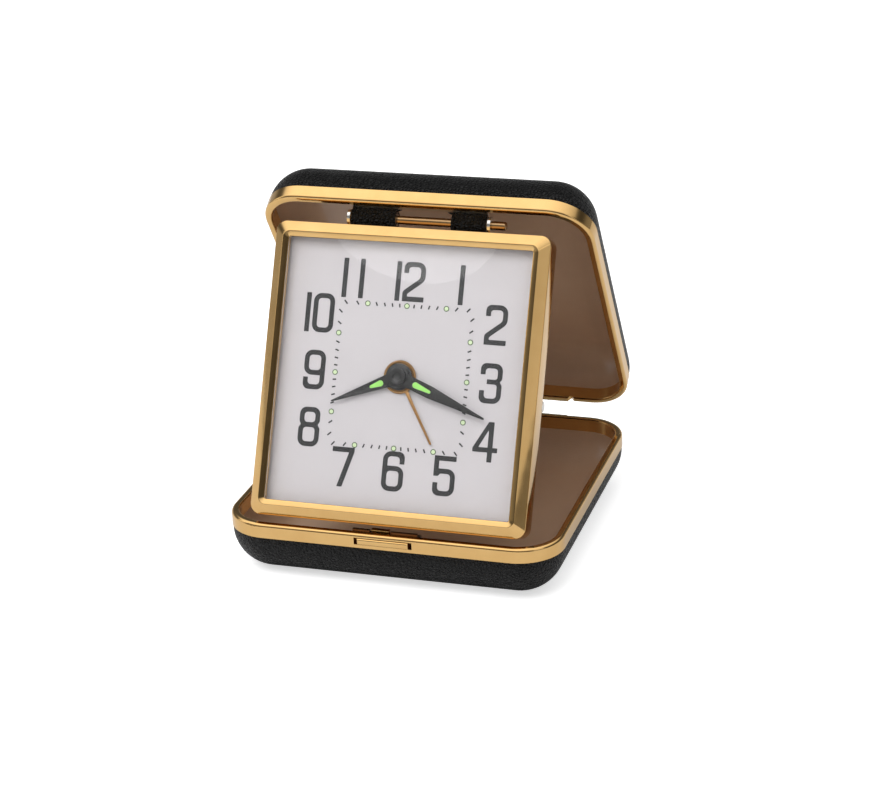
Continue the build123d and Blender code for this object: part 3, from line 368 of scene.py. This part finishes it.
acetalLook = {"dark": (0.68, 0.66, 0.58), "light": (0.78, 0.76, 0.68), "dust": (0.6, 0.58, 0.5),
              "roughLow": 0.38, "roughHigh": 0.5, "depth": 0.00002}
piezoLook = {"dark": (0.72, 0.52, 0.22), "light": (0.8, 0.6, 0.28), "roughLow": 0.22, "roughHigh": 0.34,
             "depth": 0.00001}
cellLook = {"dark": (0.05, 0.055, 0.065), "light": (0.075, 0.08, 0.095), "dust": (0.2, 0.2, 0.2),
            "roughLow": 0.22, "roughHigh": 0.32, "depth": 0.00001, "coat": 0.6, "coatRough": 0.1}
crystalLook = {"tint": (0.98, 0.98, 0.98), "ior": 1.33, "roughLow": 0.0, "roughHigh": 0.04}

finishes = {
    "leather": leatherMaterial("blackLeatherCloth", leatherLook),
    "gold": metalMaterial("polishedBrass", goldLook),
    "rod": metalMaterial("drawnBrassRod", rodLook),
    "nickel": metalMaterial("nickelPlate", nickelLook),
    "lining": paintMaterial("taupeLining", liningLook),
    "dial": paintMaterial("dialEnamel", dialLook),
    "ink": paintMaterial("dialInk", inkLook),
    "hands": paintMaterial("blackHandLacquer", handLook),
    "lume": paintMaterial("greenLume", lumeLook),
    "paleLume": paintMaterial("paleLume", paleLumeLook),
    "dotRing": paintMaterial("dotRingInk", dotRingLook),
    "bronze": metalMaterial("bronzeLacquer", bronzeLook),
    "latchPlate": metalMaterial("bronzedSheet", platePressLook),
    "steel": turnedMaterial("rolledSteel", steelLook),
    "wheelBrass": turnedMaterial("turnedBrass", wheelBrassLook),
    "magnet": turnedMaterial("sinteredMagnet", magnetLook),
    "copper": turnedMaterial("copperWinding", copperLook),
    "board": paintMaterial("circuitBoardGreen", boardLook),
    "blackPlastic": paintMaterial("mouldedBlack", blackPlasticLook),
    "knobPlastic": paintMaterial("knobBlack", knobPlasticLook),
    "acetal": paintMaterial("acetalWheel", acetalLook),
    "piezo": turnedMaterial("sounderBrass", piezoLook),
    "cell": paintMaterial("cellSleeve", cellLook),
    "crystal": crystalMaterial("clearCrystal", crystalLook),
}

nodeFinish = {
    "leather": ("base_cover", "lid_cover", "strap_cover"),
    "gold": ("base_rim", "lid_rim", "bezel", "base_hinge_leaf", "lid_hinge_leaf", "push_bar",
             "base_hinge_rivets", "lid_hinge_rivets"),
    "rod": ("hinge_rod",),
    "nickel": ("head_bracket", "hinge_pin", "strap_rivets", "case_screws",
               "plus_contact", "minus_contact", "contact_spring", "crystal_can"),
    "lining": ("base_lining", "lid_lining"),
    "latchPlate": ("latch_plate",),
    "dial": ("dial",),
    "hands": ("hour_hand", "minute_hand", "hand_cap"),
    "lume": ("hour_lume", "minute_lume"),
    "bronze": ("alarm_hand",),
    "steel": ("base_pan", "lid_pan", "strap_core", "latch_keeper", "latch_spring", "stator", "coil_core"),
    "wheelBrass": ("minute_arbor", "train_bridge"),
    "magnet": ("rotor",),
    "copper": ("coil",),
    "board": ("circuit_board",),
    "blackPlastic": ("rear_case", "movement_plate", "board_chip", "battery_door"),
    "knobPlastic": ("time_knob", "alarm_knob", "alarm_switch"),
    "acetal": ("hour_wheel", "alarm_wheel", "third_wheel", "time_setter", "alarm_setter"),
    "piezo": ("buzzer",),
    "cell": ("battery",),
    "crystal": ("crystal",),
}
for finish, nodes in nodeFinish.items():
    for node in nodes:
        for materialSlot in frame["nodes"][node].material_slots:
            materialSlot.material = finishes[finish]
dressed = {node for nodes in nodeFinish.values() for node in nodes}
print("nodes dressed:", len(dressed), "left:", sorted(set(frame["nodes"]) - dressed))


# Mesh helpers, in the head's millimetres
def addPiece(name, mesh, finish, body, stands=(), place=None, sharpAngle=35.0):
    mesh.name = name
    mesh.transform(place or headPlace)
    mesh.materials.clear()
    mesh.materials.append(finishes[finish])
    mesh.shade_smooth()
    mesh.set_sharp_from_angle(angle=math.radians(sharpAngle))
    piece = bpy.data.objects.new(name, mesh)
    bpy.context.scene.collection.objects.link(piece)
    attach(piece, body)
    if stands:
        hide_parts(*stands)
    return piece


# A flat plate between two levels, with holes, and its edges rounded by edge.
def cutPlate(outlines, low, high, edge=0.0):
    curve = bpy.data.curves.new("outline", "CURVE")
    curve.dimensions = "2D"
    curve.fill_mode = "BOTH"
    curve.extrude = (high - low) / 2 - edge
    curve.bevel_depth = edge
    curve.bevel_resolution = 2
    curve.offset = -edge
    for points in outlines:
        spline = curve.splines.new("POLY")
        spline.points.add(len(points) - 1)
        for point, (x, y) in zip(spline.points, points):
            point.co = (x, y, 0, 1)
        spline.use_cyclic_u = True
    holder = bpy.data.objects.new("outline", curve)
    mesh = bpy.data.meshes.new_from_object(holder)
    bpy.data.objects.remove(holder)
    bpy.data.curves.remove(curve)
    mesh.transform(Matrix.Translation((0, 0, (low + high) / 2)))
    welded = bmesh.new()
    welded.from_mesh(mesh)
    bmesh.ops.remove_doubles(welded, verts=welded.verts, dist=0.0005)
    bmesh.ops.recalc_face_normals(welded, faces=welded.faces)
    welded.to_mesh(mesh)
    welded.free()
    return mesh


# A closed outline of corners (x, y, radius), each corner rounded by its radius.
def roundedOutline(corners, steps=7):
    points = []
    count = len(corners)
    for k, (x, y, radius) in enumerate(corners):
        before = Vector(corners[k - 1][:2]) - Vector((x, y))
        after = Vector(corners[(k + 1) % count][:2]) - Vector((x, y))
        corner = Vector((x, y))
        half = before.angle(after) / 2
        if radius <= 0 or half < 0.01:
            points.append((x, y))
            continue
        reach = min(radius / math.tan(half), before.length * 0.499, after.length * 0.499)
        start = corner + before.normalized() * reach
        end = corner + after.normalized() * reach
        middle = corner + (before.normalized() + after.normalized()).normalized() * reach / math.cos(half)
        fromAngle = math.atan2(start.y - middle.y, start.x - middle.x)
        turn = math.atan2(end.y - middle.y, end.x - middle.x) - fromAngle
        turn = (turn + math.pi) % math.tau - math.pi
        size = (start - middle).length
        for step in range(steps + 1):
            angle = fromAngle + turn * step / steps
            points.append((middle.x + size * math.cos(angle), middle.y + size * math.sin(angle)))
    return points


def joinMeshes(meshes):
    joined = bmesh.new()
    for mesh in meshes:
        joined.from_mesh(mesh)
        bpy.data.meshes.remove(mesh)
    result = bpy.data.meshes.new("joined")
    joined.to_mesh(result)
    joined.free()
    return result


# A form of revolution round the dial's axis from (radius, level) points.
def turnedMesh(profile, segments=72, closed=False):
    turned = bmesh.new()
    rings = []
    for radius, level in profile:
        if radius < 1e-6:
            rings.append([turned.verts.new((0, 0, level))])
            continue
        rings.append([turned.verts.new((radius * math.cos(math.tau * k / segments),
                                        radius * math.sin(math.tau * k / segments), level))
                      for k in range(segments)])
    pairs = list(zip(rings, rings[1:])) + ([(rings[-1], rings[0])] if closed else [])
    for lower, upper in pairs:
        for k in range(segments):
            corners = [lower[k % len(lower)], lower[(k + 1) % len(lower)],
                       upper[(k + 1) % len(upper)], upper[k % len(upper)]]
            turned.faces.new(dict.fromkeys(corners))
    bmesh.ops.recalc_face_normals(turned, faces=turned.faces)
    mesh = bpy.data.meshes.new("turned")
    turned.to_mesh(mesh)
    turned.free()
    return mesh


def turnHand(mesh, degrees):
    mesh.transform(Matrix.Rotation(-math.radians(degrees), 4, "Z"))
    return mesh


# Numerals: tall narrow figures of one stroke width, drawn in a box from the lower left corner
numeralLook = {"width": 5.15, "height": 9.1, "stroke": 1.15, "outerRadius": 1.9, "innerRadius": 0.8,
               "relief": 0.04, "figureGap": 0.65, "elevenGap": 2.9, "shiftX": 0.3, "shiftY": 0.2}


def figureOutlines(figure):
    width, height, stroke = numeralLook["width"], numeralLook["height"], numeralLook["stroke"]
    big, small = numeralLook["outerRadius"], numeralLook["innerRadius"]
    right, top = width - stroke, height - stroke
    if figure == "0":
        return [[(0, 0, big), (width, 0, big), (width, height, big), (0, height, big)],
                [(stroke, stroke, small), (right, stroke, small), (right, top, small), (stroke, top, small)]]
    if figure == "1":
        return [[(0, 0, 0.1), (stroke, 0, 0.1), (stroke, height, 0.1), (0, height, 0.1)]]
    if figure == "2":
        return [[(0, 0, 0.1), (width, 0, 0.1), (width, stroke, 0.1), (stroke, stroke, 0.05),
                 (stroke, 1.75, 0.5), (width, 4.9, 2.0), (width, height, big), (0, height, big),
                 (0, 6.5, 0.1), (stroke, 6.5, 0.1),
                 (stroke, top, small), (right, top, small), (right, 5.45, 1.1), (0, 2.3, 1.0)]]
    if figure == "3":
        return [[(0, 2.9, 0.1), (0, 0, big), (width, 0, big), (width, 4.2, 0.9), (width - 0.5, 4.9, 0.12),
                 (width, 5.6, 0.9), (width, height, big), (0, height, big), (0, 6.5, 0.1), (stroke, 6.5, 0.1),
                 (stroke, top, small), (right, top, small), (right, 5.45, 0.6), (1.6, 5.45, 0.1),
                 (1.6, 4.35, 0.1), (right, 4.35, 0.6), (right, stroke, small), (stroke, stroke, small),
                 (stroke, 2.9, 0.1)]]
    if figure == "4":
        return [[(3.5, 0, 0.1), (4.65, 0, 0.1), (4.65, 2.2, 0.05), (5.8, 2.2, 0.1), (5.8, 3.3, 0.1),
                 (4.65, 3.3, 0.05), (4.65, height, 0.1), (3.35, height, 0.2), (0, 3.1, 0.2), (0, 2.2, 0.1),
                 (3.5, 2.2, 0.05)],
                [(1.36, 3.3, 0.1), (3.5, 3.3, 0.1), (3.5, 7.33, 0.1)]]
    if figure == "5":
        return [[(0, 3.0, 0.1), (0, 0, big), (width, 0, big), (width, 6.2, big), (stroke, 6.2, 0.05),
                 (stroke, top, 0.05), (width, top, 0.1), (width, height, 0.1), (0, height, 0.1),
                 (0, 4.45, 0.1), (1.05, 4.45, 0.1), (1.6, 5.05, 0.4), (right, 5.05, small),
                 (right, stroke, small),
                 (stroke, stroke, small), (stroke, 3.0, 0.1)]]
    if figure == "6":
        return [[(0, 0, big), (width, 0, big), (width, 5.8, big), (stroke, 5.8, 0.05), (stroke, top, small),
                 (right, top, small), (right, 6.3, 0.1), (width, 6.3, 0.1), (width, height, big),
                 (0, height, big)],
                [(stroke, stroke, small), (right, stroke, small), (right, 4.65, small),
                 (stroke, 4.65, small)]]
    if figure == "7":
        return [[(1.65, 0, 0.1), (2.9, 0, 0.1), (5.3, height - 1.0, 0.2), (5.3, height, 0.1),
                 (0, height, 0.1), (0, top, 0.1), (4.0, top, 0.1)]]
    if figure == "8":
        return [[(0, 0, big), (width, 0, big), (width, 4.3, 0.9), (width - 0.55, 5.05, 0.15),
                 (width - 0.1, 5.8, 0.9), (width - 0.1, height, big), (0.1, height, big), (0.1, 5.8, 0.9),
                 (0.55, 5.05, 0.15), (0, 4.3, 0.9)],
                [(stroke, stroke, small), (right, stroke, small), (right, 4.45, small),
                 (stroke, 4.45, small)],
                [(stroke + 0.1, 5.6, small), (right - 0.1, 5.6, small), (right - 0.1, top, small),
                 (stroke + 0.1, top, small)]]
    return [[(width - x, height - y, radius) for x, y, radius in outline] for outline in figureOutlines("6")]


def figureWidth(figure):
    return {"1": numeralLook["stroke"], "4": 5.8, "7": 5.3}.get(figure, numeralLook["width"])


numeralPlaces = {
    "12": (0, 21.7), "1": (12.2, 21.7), "2": (21.1, 13.2), "3": (21.1, 0), "4": (21.1, -13.2),
    "5": (12.2, -21.7), "6": (0, -21.7), "7": (-12.2, -21.7), "8": (-21.1, -13.2), "9": (-21.1, 0),
    "10": (-21.1, 13.2),
    "11": (-13.7, 21.7),
}


def makeNumerals():
    plates = []
    low = headLayout["dialLevel"]
    for text, (x, y) in numeralPlaces.items():
        gap = numeralLook["elevenGap"] if text == "11" else numeralLook["figureGap"]
        total = sum(figureWidth(figure) for figure in text) + gap * (len(text) - 1)
        left = x - total / 2 + numeralLook["shiftX"]
        for figure in text:
            outlines = [roundedOutline(outline) for outline in figureOutlines(figure)]
            plate = cutPlate(outlines, low, low + numeralLook["relief"])
            bottom = y + numeralLook["shiftY"] - numeralLook["height"] / 2
            plate.transform(Matrix.Translation((left, bottom, 0)))
            plates.append(plate)
            left += figureWidth(figure) + gap
    addPiece("dialNumerals", joinMeshes(plates), "ink", "head")


# Minute track: a square of short strokes that point at the middle, with a ringed dot at each hour
trackLook = {"halfWidth": 15.75, "halfHeight": 16.3, "strokeDepth": 0.85, "strokeWidth": 0.34, "relief": 0.04,
             "dotRadius": 0.66, "ringWidth": 0.2, "dotSteps": 28}


def trackPoint(minute):
    angle = math.tau * minute / 60
    x, y = math.sin(angle), math.cos(angle)
    reach = min(trackLook["halfWidth"] / max(abs(x), 1e-9), trackLook["halfHeight"] / max(abs(y), 1e-9))
    return Vector((x, y)), reach


def circleOutline(x, y, radius, steps):
    return [(x + radius * math.cos(math.tau * k / steps), y + radius * math.sin(math.tau * k / steps))
            for k in range(steps)]


def makeTrack():
    low = headLayout["dialLevel"]
    high = low + trackLook["relief"]
    strokes, rings, dots = [], [], []
    for minute in range(60):
        direction, reach = trackPoint(minute)
        middle = direction * reach
        if minute % 5:
            steepness = max(abs(direction.x), abs(direction.y))
            along = direction * trackLook["strokeDepth"] / steepness / 2
            across = Vector((direction.y, -direction.x)) * trackLook["strokeWidth"] / 2
            corners = [middle + along + across, middle + along - across, middle - along - across,
                       middle - along + across]
            strokes.append(cutPlate([[tuple(c) for c in corners]], low, high))
            continue
        outer, inner = trackLook["dotRadius"], trackLook["dotRadius"] - trackLook["ringWidth"]
        steps = trackLook["dotSteps"]
        rings.append(cutPlate([circleOutline(middle.x, middle.y, outer, steps),
                               circleOutline(middle.x, middle.y, inner, steps)], low, high))
        dots.append(cutPlate([circleOutline(middle.x, middle.y, inner, steps)], low,
                             high + trackLook["relief"], trackLook["relief"] / 2))
    addPiece("minuteTrack", joinMeshes(strokes), "ink", "head")
    addPiece("hourDotRings", joinMeshes(rings), "dotRing", "head")
    addPiece("hourDots", joinMeshes(dots), "paleLume", "head")


makeNumerals()
makeTrack()
print("dial printed")


# Hands: thin black blades with a window of green paste, a bronze alarm hand, and a stepped hub
handLooks = {
    "hour": {"level": 5.25, "thickness": 0.22, "length": 17.1, "width": 3.0, "tip": 0.35, "shoulder": 3.1,
             "hub": 3.1, "angle": 246.8, "lumeStart": 3.9, "lumeLength": 3.4, "lumeWide": 1.45,
             "lumeNarrow": 0.75, "bore": 1.2},
    "minute": {"level": 5.95, "thickness": 0.22, "length": 22.5, "width": 2.9, "tip": 0.5, "shoulder": 8.6,
               "hub": 2.6, "angle": 110.9, "lumeStart": 3.9, "lumeLength": 4.7, "lumeWide": 1.4,
               "lumeNarrow": 0.7, "bore": 0.5},
    "alarm": {"level": 4.55, "thickness": 0.22, "length": 17.2, "width": 0.8, "ring": 3.85, "angle": 149.3,
              "bore": 1.9},
    "cap": {"level": 6.17, "height": 0.75, "radius": 2.0, "dimple": 1.0, "dimpleDepth": 0.25, "round": 0.16},
}


# A long drop with a round end at each end, the wide one at start.
def dropOutline(start, length, wide, narrow, steps=10):
    wideMiddle, narrowMiddle = start + wide / 2, start + length - narrow / 2
    points = []
    for step in range(steps + 1):
        angle = math.pi + math.pi * step / steps
        points.append((wide / 2 * math.cos(angle), wideMiddle + wide / 2 * math.sin(angle)))
    for step in range(steps + 1):
        angle = math.pi * step / steps
        points.append((narrow / 2 * math.cos(angle), narrowMiddle + narrow / 2 * math.sin(angle)))
    return points


# The blade and its hub disc as one outline, pointing at twelve.
def bladeOutline(look, hubSteps=48):
    half, tip, hub = look["width"] / 2, look["tip"] / 2, look["hub"]
    meet = math.asin(min(half / hub, 0.999))
    points = []
    for step in range(hubSteps + 1):
        angle = math.pi / 2 + meet + (math.tau - 2 * meet) * step / hubSteps
        points.append((hub * math.cos(angle), hub * math.sin(angle)))
    if look["shoulder"] > hub:
        points.append((half, look["shoulder"]))
    end = look["length"] - tip
    for step in range(9):
        angle = math.pi * step / 8
        points.append((tip * math.cos(angle), end + tip * math.sin(angle)))
    if look["shoulder"] > hub:
        points.append((-half, look["shoulder"]))
    return points


def makeBlade(kind, body, stands):
    look = handLooks[kind]
    low, high = look["level"], look["level"] + look["thickness"]
    window = dropOutline(look["lumeStart"], look["lumeLength"], look["lumeWide"], look["lumeNarrow"])
    bore = circleOutline(0, 0, look["bore"], 40)
    blade = cutPlate([bladeOutline(look), window, bore], low, high, 0.05)
    addPiece(kind + "HandBlade", turnHand(blade, look["angle"]), "hands", body, stands[:1])
    drop = dropOutline(look["lumeStart"] + 0.02, look["lumeLength"] - 0.04, look["lumeWide"] - 0.04,
                       look["lumeNarrow"] - 0.04)
    paste = cutPlate([drop], low + 0.02, high + 0.03, 0.07)
    addPiece(kind + "HandPaste", turnHand(paste, look["angle"]), "lume", body, stands[1:])


def makeAlarmHand():
    look = handLooks["alarm"]
    low, high = look["level"], look["level"] + look["thickness"]
    half, length, rim = look["width"] / 2, look["length"], look["ring"]
    blade = cutPlate([[(-half, rim - 0.5), (half, rim - 0.5), (half * 0.62, length - 0.3),
                       (half * 0.2, length), (-half * 0.2, length), (-half * 0.62, length - 0.3)]],
                     low, high, 0.04)
    ring = turnedMesh([(look["bore"], low), (rim - 0.06, low), (rim, low + 0.06), (rim, high - 0.02),
                       (rim - 0.1, high + 0.08), (rim - 0.45, high + 0.08), (rim - 0.6, high - 0.03),
                       (look["bore"], high - 0.03)], closed=True)
    addPiece("alarmHandBronze", turnHand(joinMeshes([blade, ring]), look["angle"]), "bronze", "alarm_hand",
             ("alarm_hand",))


def makeHubCap():
    look = handLooks["cap"]
    low, high = look["level"], look["level"] + look["height"]
    edge = look["round"]
    profile = [(0, low), (look["radius"], low)]
    for step in range(6):
        angle = math.pi / 2 * step / 5
        profile.append((look["radius"] - edge + edge * math.cos(angle), high - edge + edge * math.sin(angle)))
    dimple, floor = look["dimple"], high - look["dimpleDepth"]
    profile += [(dimple + 0.1, high), (dimple + 0.02, high - 0.04), (dimple - 0.08, high - 0.2),
                (dimple - 0.25, floor), (0, floor)]
    addPiece("handHubCap", turnedMesh(profile), "hands", "minute_hand", ("hand_cap",))


makeBlade("hour", "hour_hand", ("hour_hand", "hour_lume"))
makeBlade("minute", "minute_hand", ("minute_hand", "minute_lume"))
makeAlarmHand()
makeHubCap()
print("hands made")


# Bezel: one folded sheet round the crystal, each fold softened
bezelLook = {"innerFacet": 1.3, "outerFacet": 2.4, "fold": 0.14, "sheet": 1.0, "corner": 2.5,
             "crystalCorner": 0.4, "cornerSteps": 10}


# Points round the crystal at a distance offset outside it.
def frameLoop(offset, corner, steps):
    halfWidth = headLayout["crystalWidth"] / 2 + offset
    halfHeight = headLayout["crystalHeight"] / 2 + offset
    points = []
    for signX, signY, start in ((1, 1, 0), (-1, 1, 1), (-1, -1, 2), (1, -1, 3)):
        for step in range(steps + 1):
            angle = math.pi / 2 * (start + step / steps)
            points.append((signX * (halfWidth - corner) + corner * math.cos(angle),
                           signY * (halfHeight - corner) + corner * math.sin(angle)))
    return points


# (offset, level, corner radius) from the crystal's edge over both facets to the rear and back inside.
def foldedProfile():
    look, lay = bezelLook, headLayout
    rim, outer, sheet = look["innerFacet"], look["innerFacet"] + look["outerFacet"], look["sheet"]
    corners = [
        (0.0, lay["lipLevel"], look["crystalCorner"]),
        (0.0, lay["edgeLevel"], look["crystalCorner"]),
        (rim, lay["ridgeLevel"], look["crystalCorner"] + rim),
        (outer, lay["footLevel"], look["corner"]),
        (outer, lay["backLevel"], look["corner"]),
        (outer - sheet, lay["backLevel"], look["corner"] - sheet),
        (outer - sheet, lay["lipLevel"], look["corner"] - sheet),
    ]
    profile = []
    count = len(corners)
    for k, corner in enumerate(corners):
        point, before, after = Vector(corner), Vector(corners[k - 1]), Vector(corners[(k + 1) % count])
        fold = min(look["fold"], (before - point).length * 0.3, (after - point).length * 0.3)
        start = point + (before - point).normalized() * fold
        end = point + (after - point).normalized() * fold
        for step in range(5):
            share = step / 4
            profile.append(start * (1 - share) ** 2 + point * 2 * share * (1 - share) + end * share ** 2)
    return profile


def makeBezel():
    sheet = bmesh.new()
    loops = []
    for offset, level, corner in foldedProfile():
        loops.append([sheet.verts.new((x, y, level))
                      for x, y in frameLoop(offset, max(corner, 0.02), bezelLook["cornerSteps"])])
    for lower, upper in zip(loops, loops[1:] + loops[:1]):
        count = len(lower)
        for k in range(count):
            sheet.faces.new((lower[k], lower[(k + 1) % count], upper[(k + 1) % count], upper[k]))
    bmesh.ops.recalc_face_normals(sheet, faces=sheet.faces)
    mesh = bpy.data.meshes.new("bezel")
    sheet.to_mesh(mesh)
    sheet.free()
    addPiece("bezelSheet", mesh, "gold", "head", ("bezel",), sharpAngle=50.0)


makeBezel()
print("bezel made")


# Crystal: a thin clear sheet with a soft dome, flat along its edges
crystalForm = {"dome": 1.5, "sheet": 0.3, "fit": 0.06, "steps": 56}


def makeCrystal():
    look = crystalForm
    halfWidth = headLayout["crystalWidth"] / 2 - look["fit"]
    halfHeight = headLayout["crystalHeight"] / 2 - look["fit"]
    steps = look["steps"]
    sheet = bmesh.new()

    def surface(drop):
        rows = []
        for row in range(steps + 1):
            v = math.sin(math.pi * (row / steps - 0.5))
            line = []
            for column in range(steps + 1):
                u = math.sin(math.pi * (column / steps - 0.5))
                level = headLayout["edgeLevel"] + look["dome"] * (1 - u * u) * (1 - v * v) - drop
                line.append(sheet.verts.new((u * halfWidth, v * halfHeight, level)))
            rows.append(line)
        return rows

    front, back = surface(0.0), surface(look["sheet"])
    for rows in (front, back):
        for lower, upper in zip(rows, rows[1:]):
            for k in range(steps):
                sheet.faces.new((lower[k], lower[k + 1], upper[k + 1], upper[k]))

    def border(rows):
        return ([rows[0][k] for k in range(steps)] + [rows[k][-1] for k in range(steps)]
                + [rows[-1][k] for k in range(steps, 0, -1)] + [rows[k][0] for k in range(steps, 0, -1)])

    outer, inner = border(front), border(back)
    for k in range(len(outer)):
        after = (k + 1) % len(outer)
        sheet.faces.new((outer[k], outer[after], inner[after], inner[k]))
    bmesh.ops.recalc_face_normals(sheet, faces=sheet.faces)
    mesh = bpy.data.meshes.new("crystal")
    sheet.to_mesh(mesh)
    sheet.free()
    addPiece("crystalSheet", mesh, "crystal", "head", ("crystal",), sharpAngle=50.0)


makeCrystal()
print("crystal made")


# Camera at the photograph's angle
cameraLook = {"azimuth": 17.803, "elevation": 22.479, "distance": 545.583, "target": (2.706, 0.0, 30.753),
              "roll": -2.259, "lens": 93.556}


def makeCamera():
    azimuth, elevation = math.radians(cameraLook["azimuth"]), math.radians(cameraLook["elevation"])
    roll = math.radians(cameraLook["roll"])
    away = Vector((math.sin(azimuth) * math.cos(elevation), -math.cos(azimuth) * math.cos(elevation),
                   math.sin(elevation)))
    right = Vector((math.cos(azimuth), math.sin(azimuth), 0))
    up = away.cross(right)
    turnedRight = right * math.cos(roll) + up * math.sin(roll)
    turnedUp = up * math.cos(roll) - right * math.sin(roll)
    data = bpy.data.cameras.new("photoCamera")
    data.lens = cameraLook["lens"]
    data.sensor_width = 36.0
    data.sensor_fit = "HORIZONTAL"
    data.clip_start = 0.01
    camera = bpy.data.objects.new("photoCamera", data)
    turn = Matrix((turnedRight, turnedUp, away)).transposed().to_4x4()
    middle = Vector(cameraLook["target"]) * mm
    camera.matrix_world = Matrix.Translation(middle + away * cameraLook["distance"] * mm) @ turn
    bpy.context.scene.collection.objects.link(camera)
    bpy.context.scene.camera = camera


# Studio: a pale floor, a white background and soft boxes; azimuth in degrees, from the front to the right
softBoxes = {
    "keyBox": {"azimuth": -20.0, "elevation": 54.0, "distance": 0.75, "width": 0.62, "height": 0.42,
               "radiance": 3.0, "mirrored": False},
    "sideBox": {"azimuth": 62.0, "elevation": 26.0, "distance": 0.9, "width": 0.4, "height": 0.5,
                "radiance": 0.6, "mirrored": True},
    "leftBox": {"azimuth": -80.0, "elevation": 22.0, "distance": 0.9, "width": 0.4, "height": 0.5,
                "radiance": 0.8, "mirrored": True},
}
studioLook = {"aim": (0.0, -0.01, 0.035), "floorSize": 3.0, "floorDrop": 0.0001,
              "floorColour": (0.86, 0.86, 0.86),
              "floorLift": 0.62, "diffuseShare": 0.85, "leftShare": 1.15, "rightShare": 0.7,
              "sky": ((0.0, 0.5), (0.16, 0.42), (0.36, 0.14), (0.5, 0.2), (0.64, 1.2), (0.82, 1.8),
                      (1.0, 2.1))}


def makeSoftBox(name, look):
    azimuth, elevation = math.radians(look["azimuth"]), math.radians(look["elevation"])
    away = Vector((math.sin(azimuth) * math.cos(elevation), -math.cos(azimuth) * math.cos(elevation),
                   math.sin(elevation)))
    data = bpy.data.lights.new(name, "AREA")
    data.shape = "RECTANGLE"
    data.size = look["width"]
    data.size_y = look["height"]
    data.energy = look["radiance"] * look["width"] * look["height"] * math.pi
    lamp = bpy.data.objects.new(name, data)
    lamp.location = Vector(studioLook["aim"]) + away * look["distance"]
    lamp.rotation_euler = away.to_track_quat("Z", "Y").to_euler()
    lamp.visible_glossy = look["mirrored"]
    bpy.context.scene.collection.objects.link(lamp)


def makeFloor():
    half = studioLook["floorSize"] / 2
    drop = -studioLook["floorDrop"]
    mesh = bpy.data.meshes.new("studioFloor")
    mesh.from_pydata([(-half, -half, drop), (half, -half, drop), (half, half, drop), (-half, half, drop)], [],
                     [(0, 1, 2, 3)])
    material = bpy.data.materials.new("paleFloor")
    material.use_nodes = True
    tree = material.node_tree
    tree.nodes.clear()
    matt = addNode(tree, "ShaderNodeBsdfDiffuse", {"Color": (*studioLook["floorColour"], 1)})
    path = addNode(tree, "ShaderNodeLightPath")
    seen = mathNode(tree, "MAXIMUM", path.outputs["Is Camera Ray"], path.outputs["Is Transmission Ray"])
    lift = addNode(tree, "ShaderNodeEmission")
    tree.links.new(mathNode(tree, "MULTIPLY", seen, studioLook["floorLift"]), lift.inputs["Strength"])
    total = addNode(tree, "ShaderNodeAddShader")
    output = addNode(tree, "ShaderNodeOutputMaterial")
    tree.links.new(matt.outputs[0], total.inputs[0])
    tree.links.new(lift.outputs[0], total.inputs[1])
    tree.links.new(total.outputs[0], output.inputs["Surface"])
    mesh.materials.append(material)
    floor = bpy.data.objects.new("studioFloor", mesh)
    bpy.context.scene.collection.objects.link(floor)


# White behind the object; its light and reflections come from a sky that is brightest overhead.
def makeWorld():
    world = bpy.data.worlds.new("studioWorld")
    world.use_nodes = True
    tree = world.node_tree
    tree.nodes.clear()
    direction = addNode(tree, "ShaderNodeTexCoord")
    parts = addNode(tree, "ShaderNodeSeparateXYZ")
    tree.links.new(direction.outputs["Generated"], parts.inputs[0])
    sky = addNode(tree, "ShaderNodeFloatCurve")
    curve = sky.mapping.curves[0]
    brightest = max(strength for height, strength in studioLook["sky"])
    for place, (height, strength) in enumerate(studioLook["sky"]):
        point = curve.points[place] if place < 2 else curve.points.new(height, strength / brightest)
        point.location = (height, strength / brightest)
    sky.mapping.update()
    tree.links.new(parts.outputs["Z"], sky.inputs["Value"])
    across = rangeNode(tree, parts.outputs["X"], -0.8, 0.8, studioLook["leftShare"],
                       studioLook["rightShare"])
    level = mathNode(tree, "MULTIPLY", mathNode(tree, "MULTIPLY", sky.outputs[0], brightest), across)
    path = addNode(tree, "ShaderNodeLightPath")
    dimmed = rangeNode(tree, path.outputs["Is Diffuse Ray"], 0.0, 1.0, 1.0, studioLook["diffuseShare"])
    seen = mathNode(tree, "MAXIMUM", path.outputs["Is Camera Ray"], path.outputs["Is Transmission Ray"])
    strength = addNode(tree, "ShaderNodeMix", data_type="FLOAT")
    tree.links.new(seen, strength.inputs[0])
    tree.links.new(mathNode(tree, "MULTIPLY", level, dimmed), strength.inputs[2])
    strength.inputs[3].default_value = 1.0
    light = addNode(tree, "ShaderNodeBackground")
    tree.links.new(strength.outputs[0], light.inputs["Strength"])
    output = addNode(tree, "ShaderNodeOutputWorld")
    tree.links.new(light.outputs[0], output.inputs["Surface"])
    bpy.context.scene.world = world


makeCamera()
for boxName, boxLook in softBoxes.items():
    makeSoftBox(boxName, boxLook)
makeFloor()
makeWorld()
bpy.context.scene.view_settings.view_transform = "Standard"
print("studio ready")
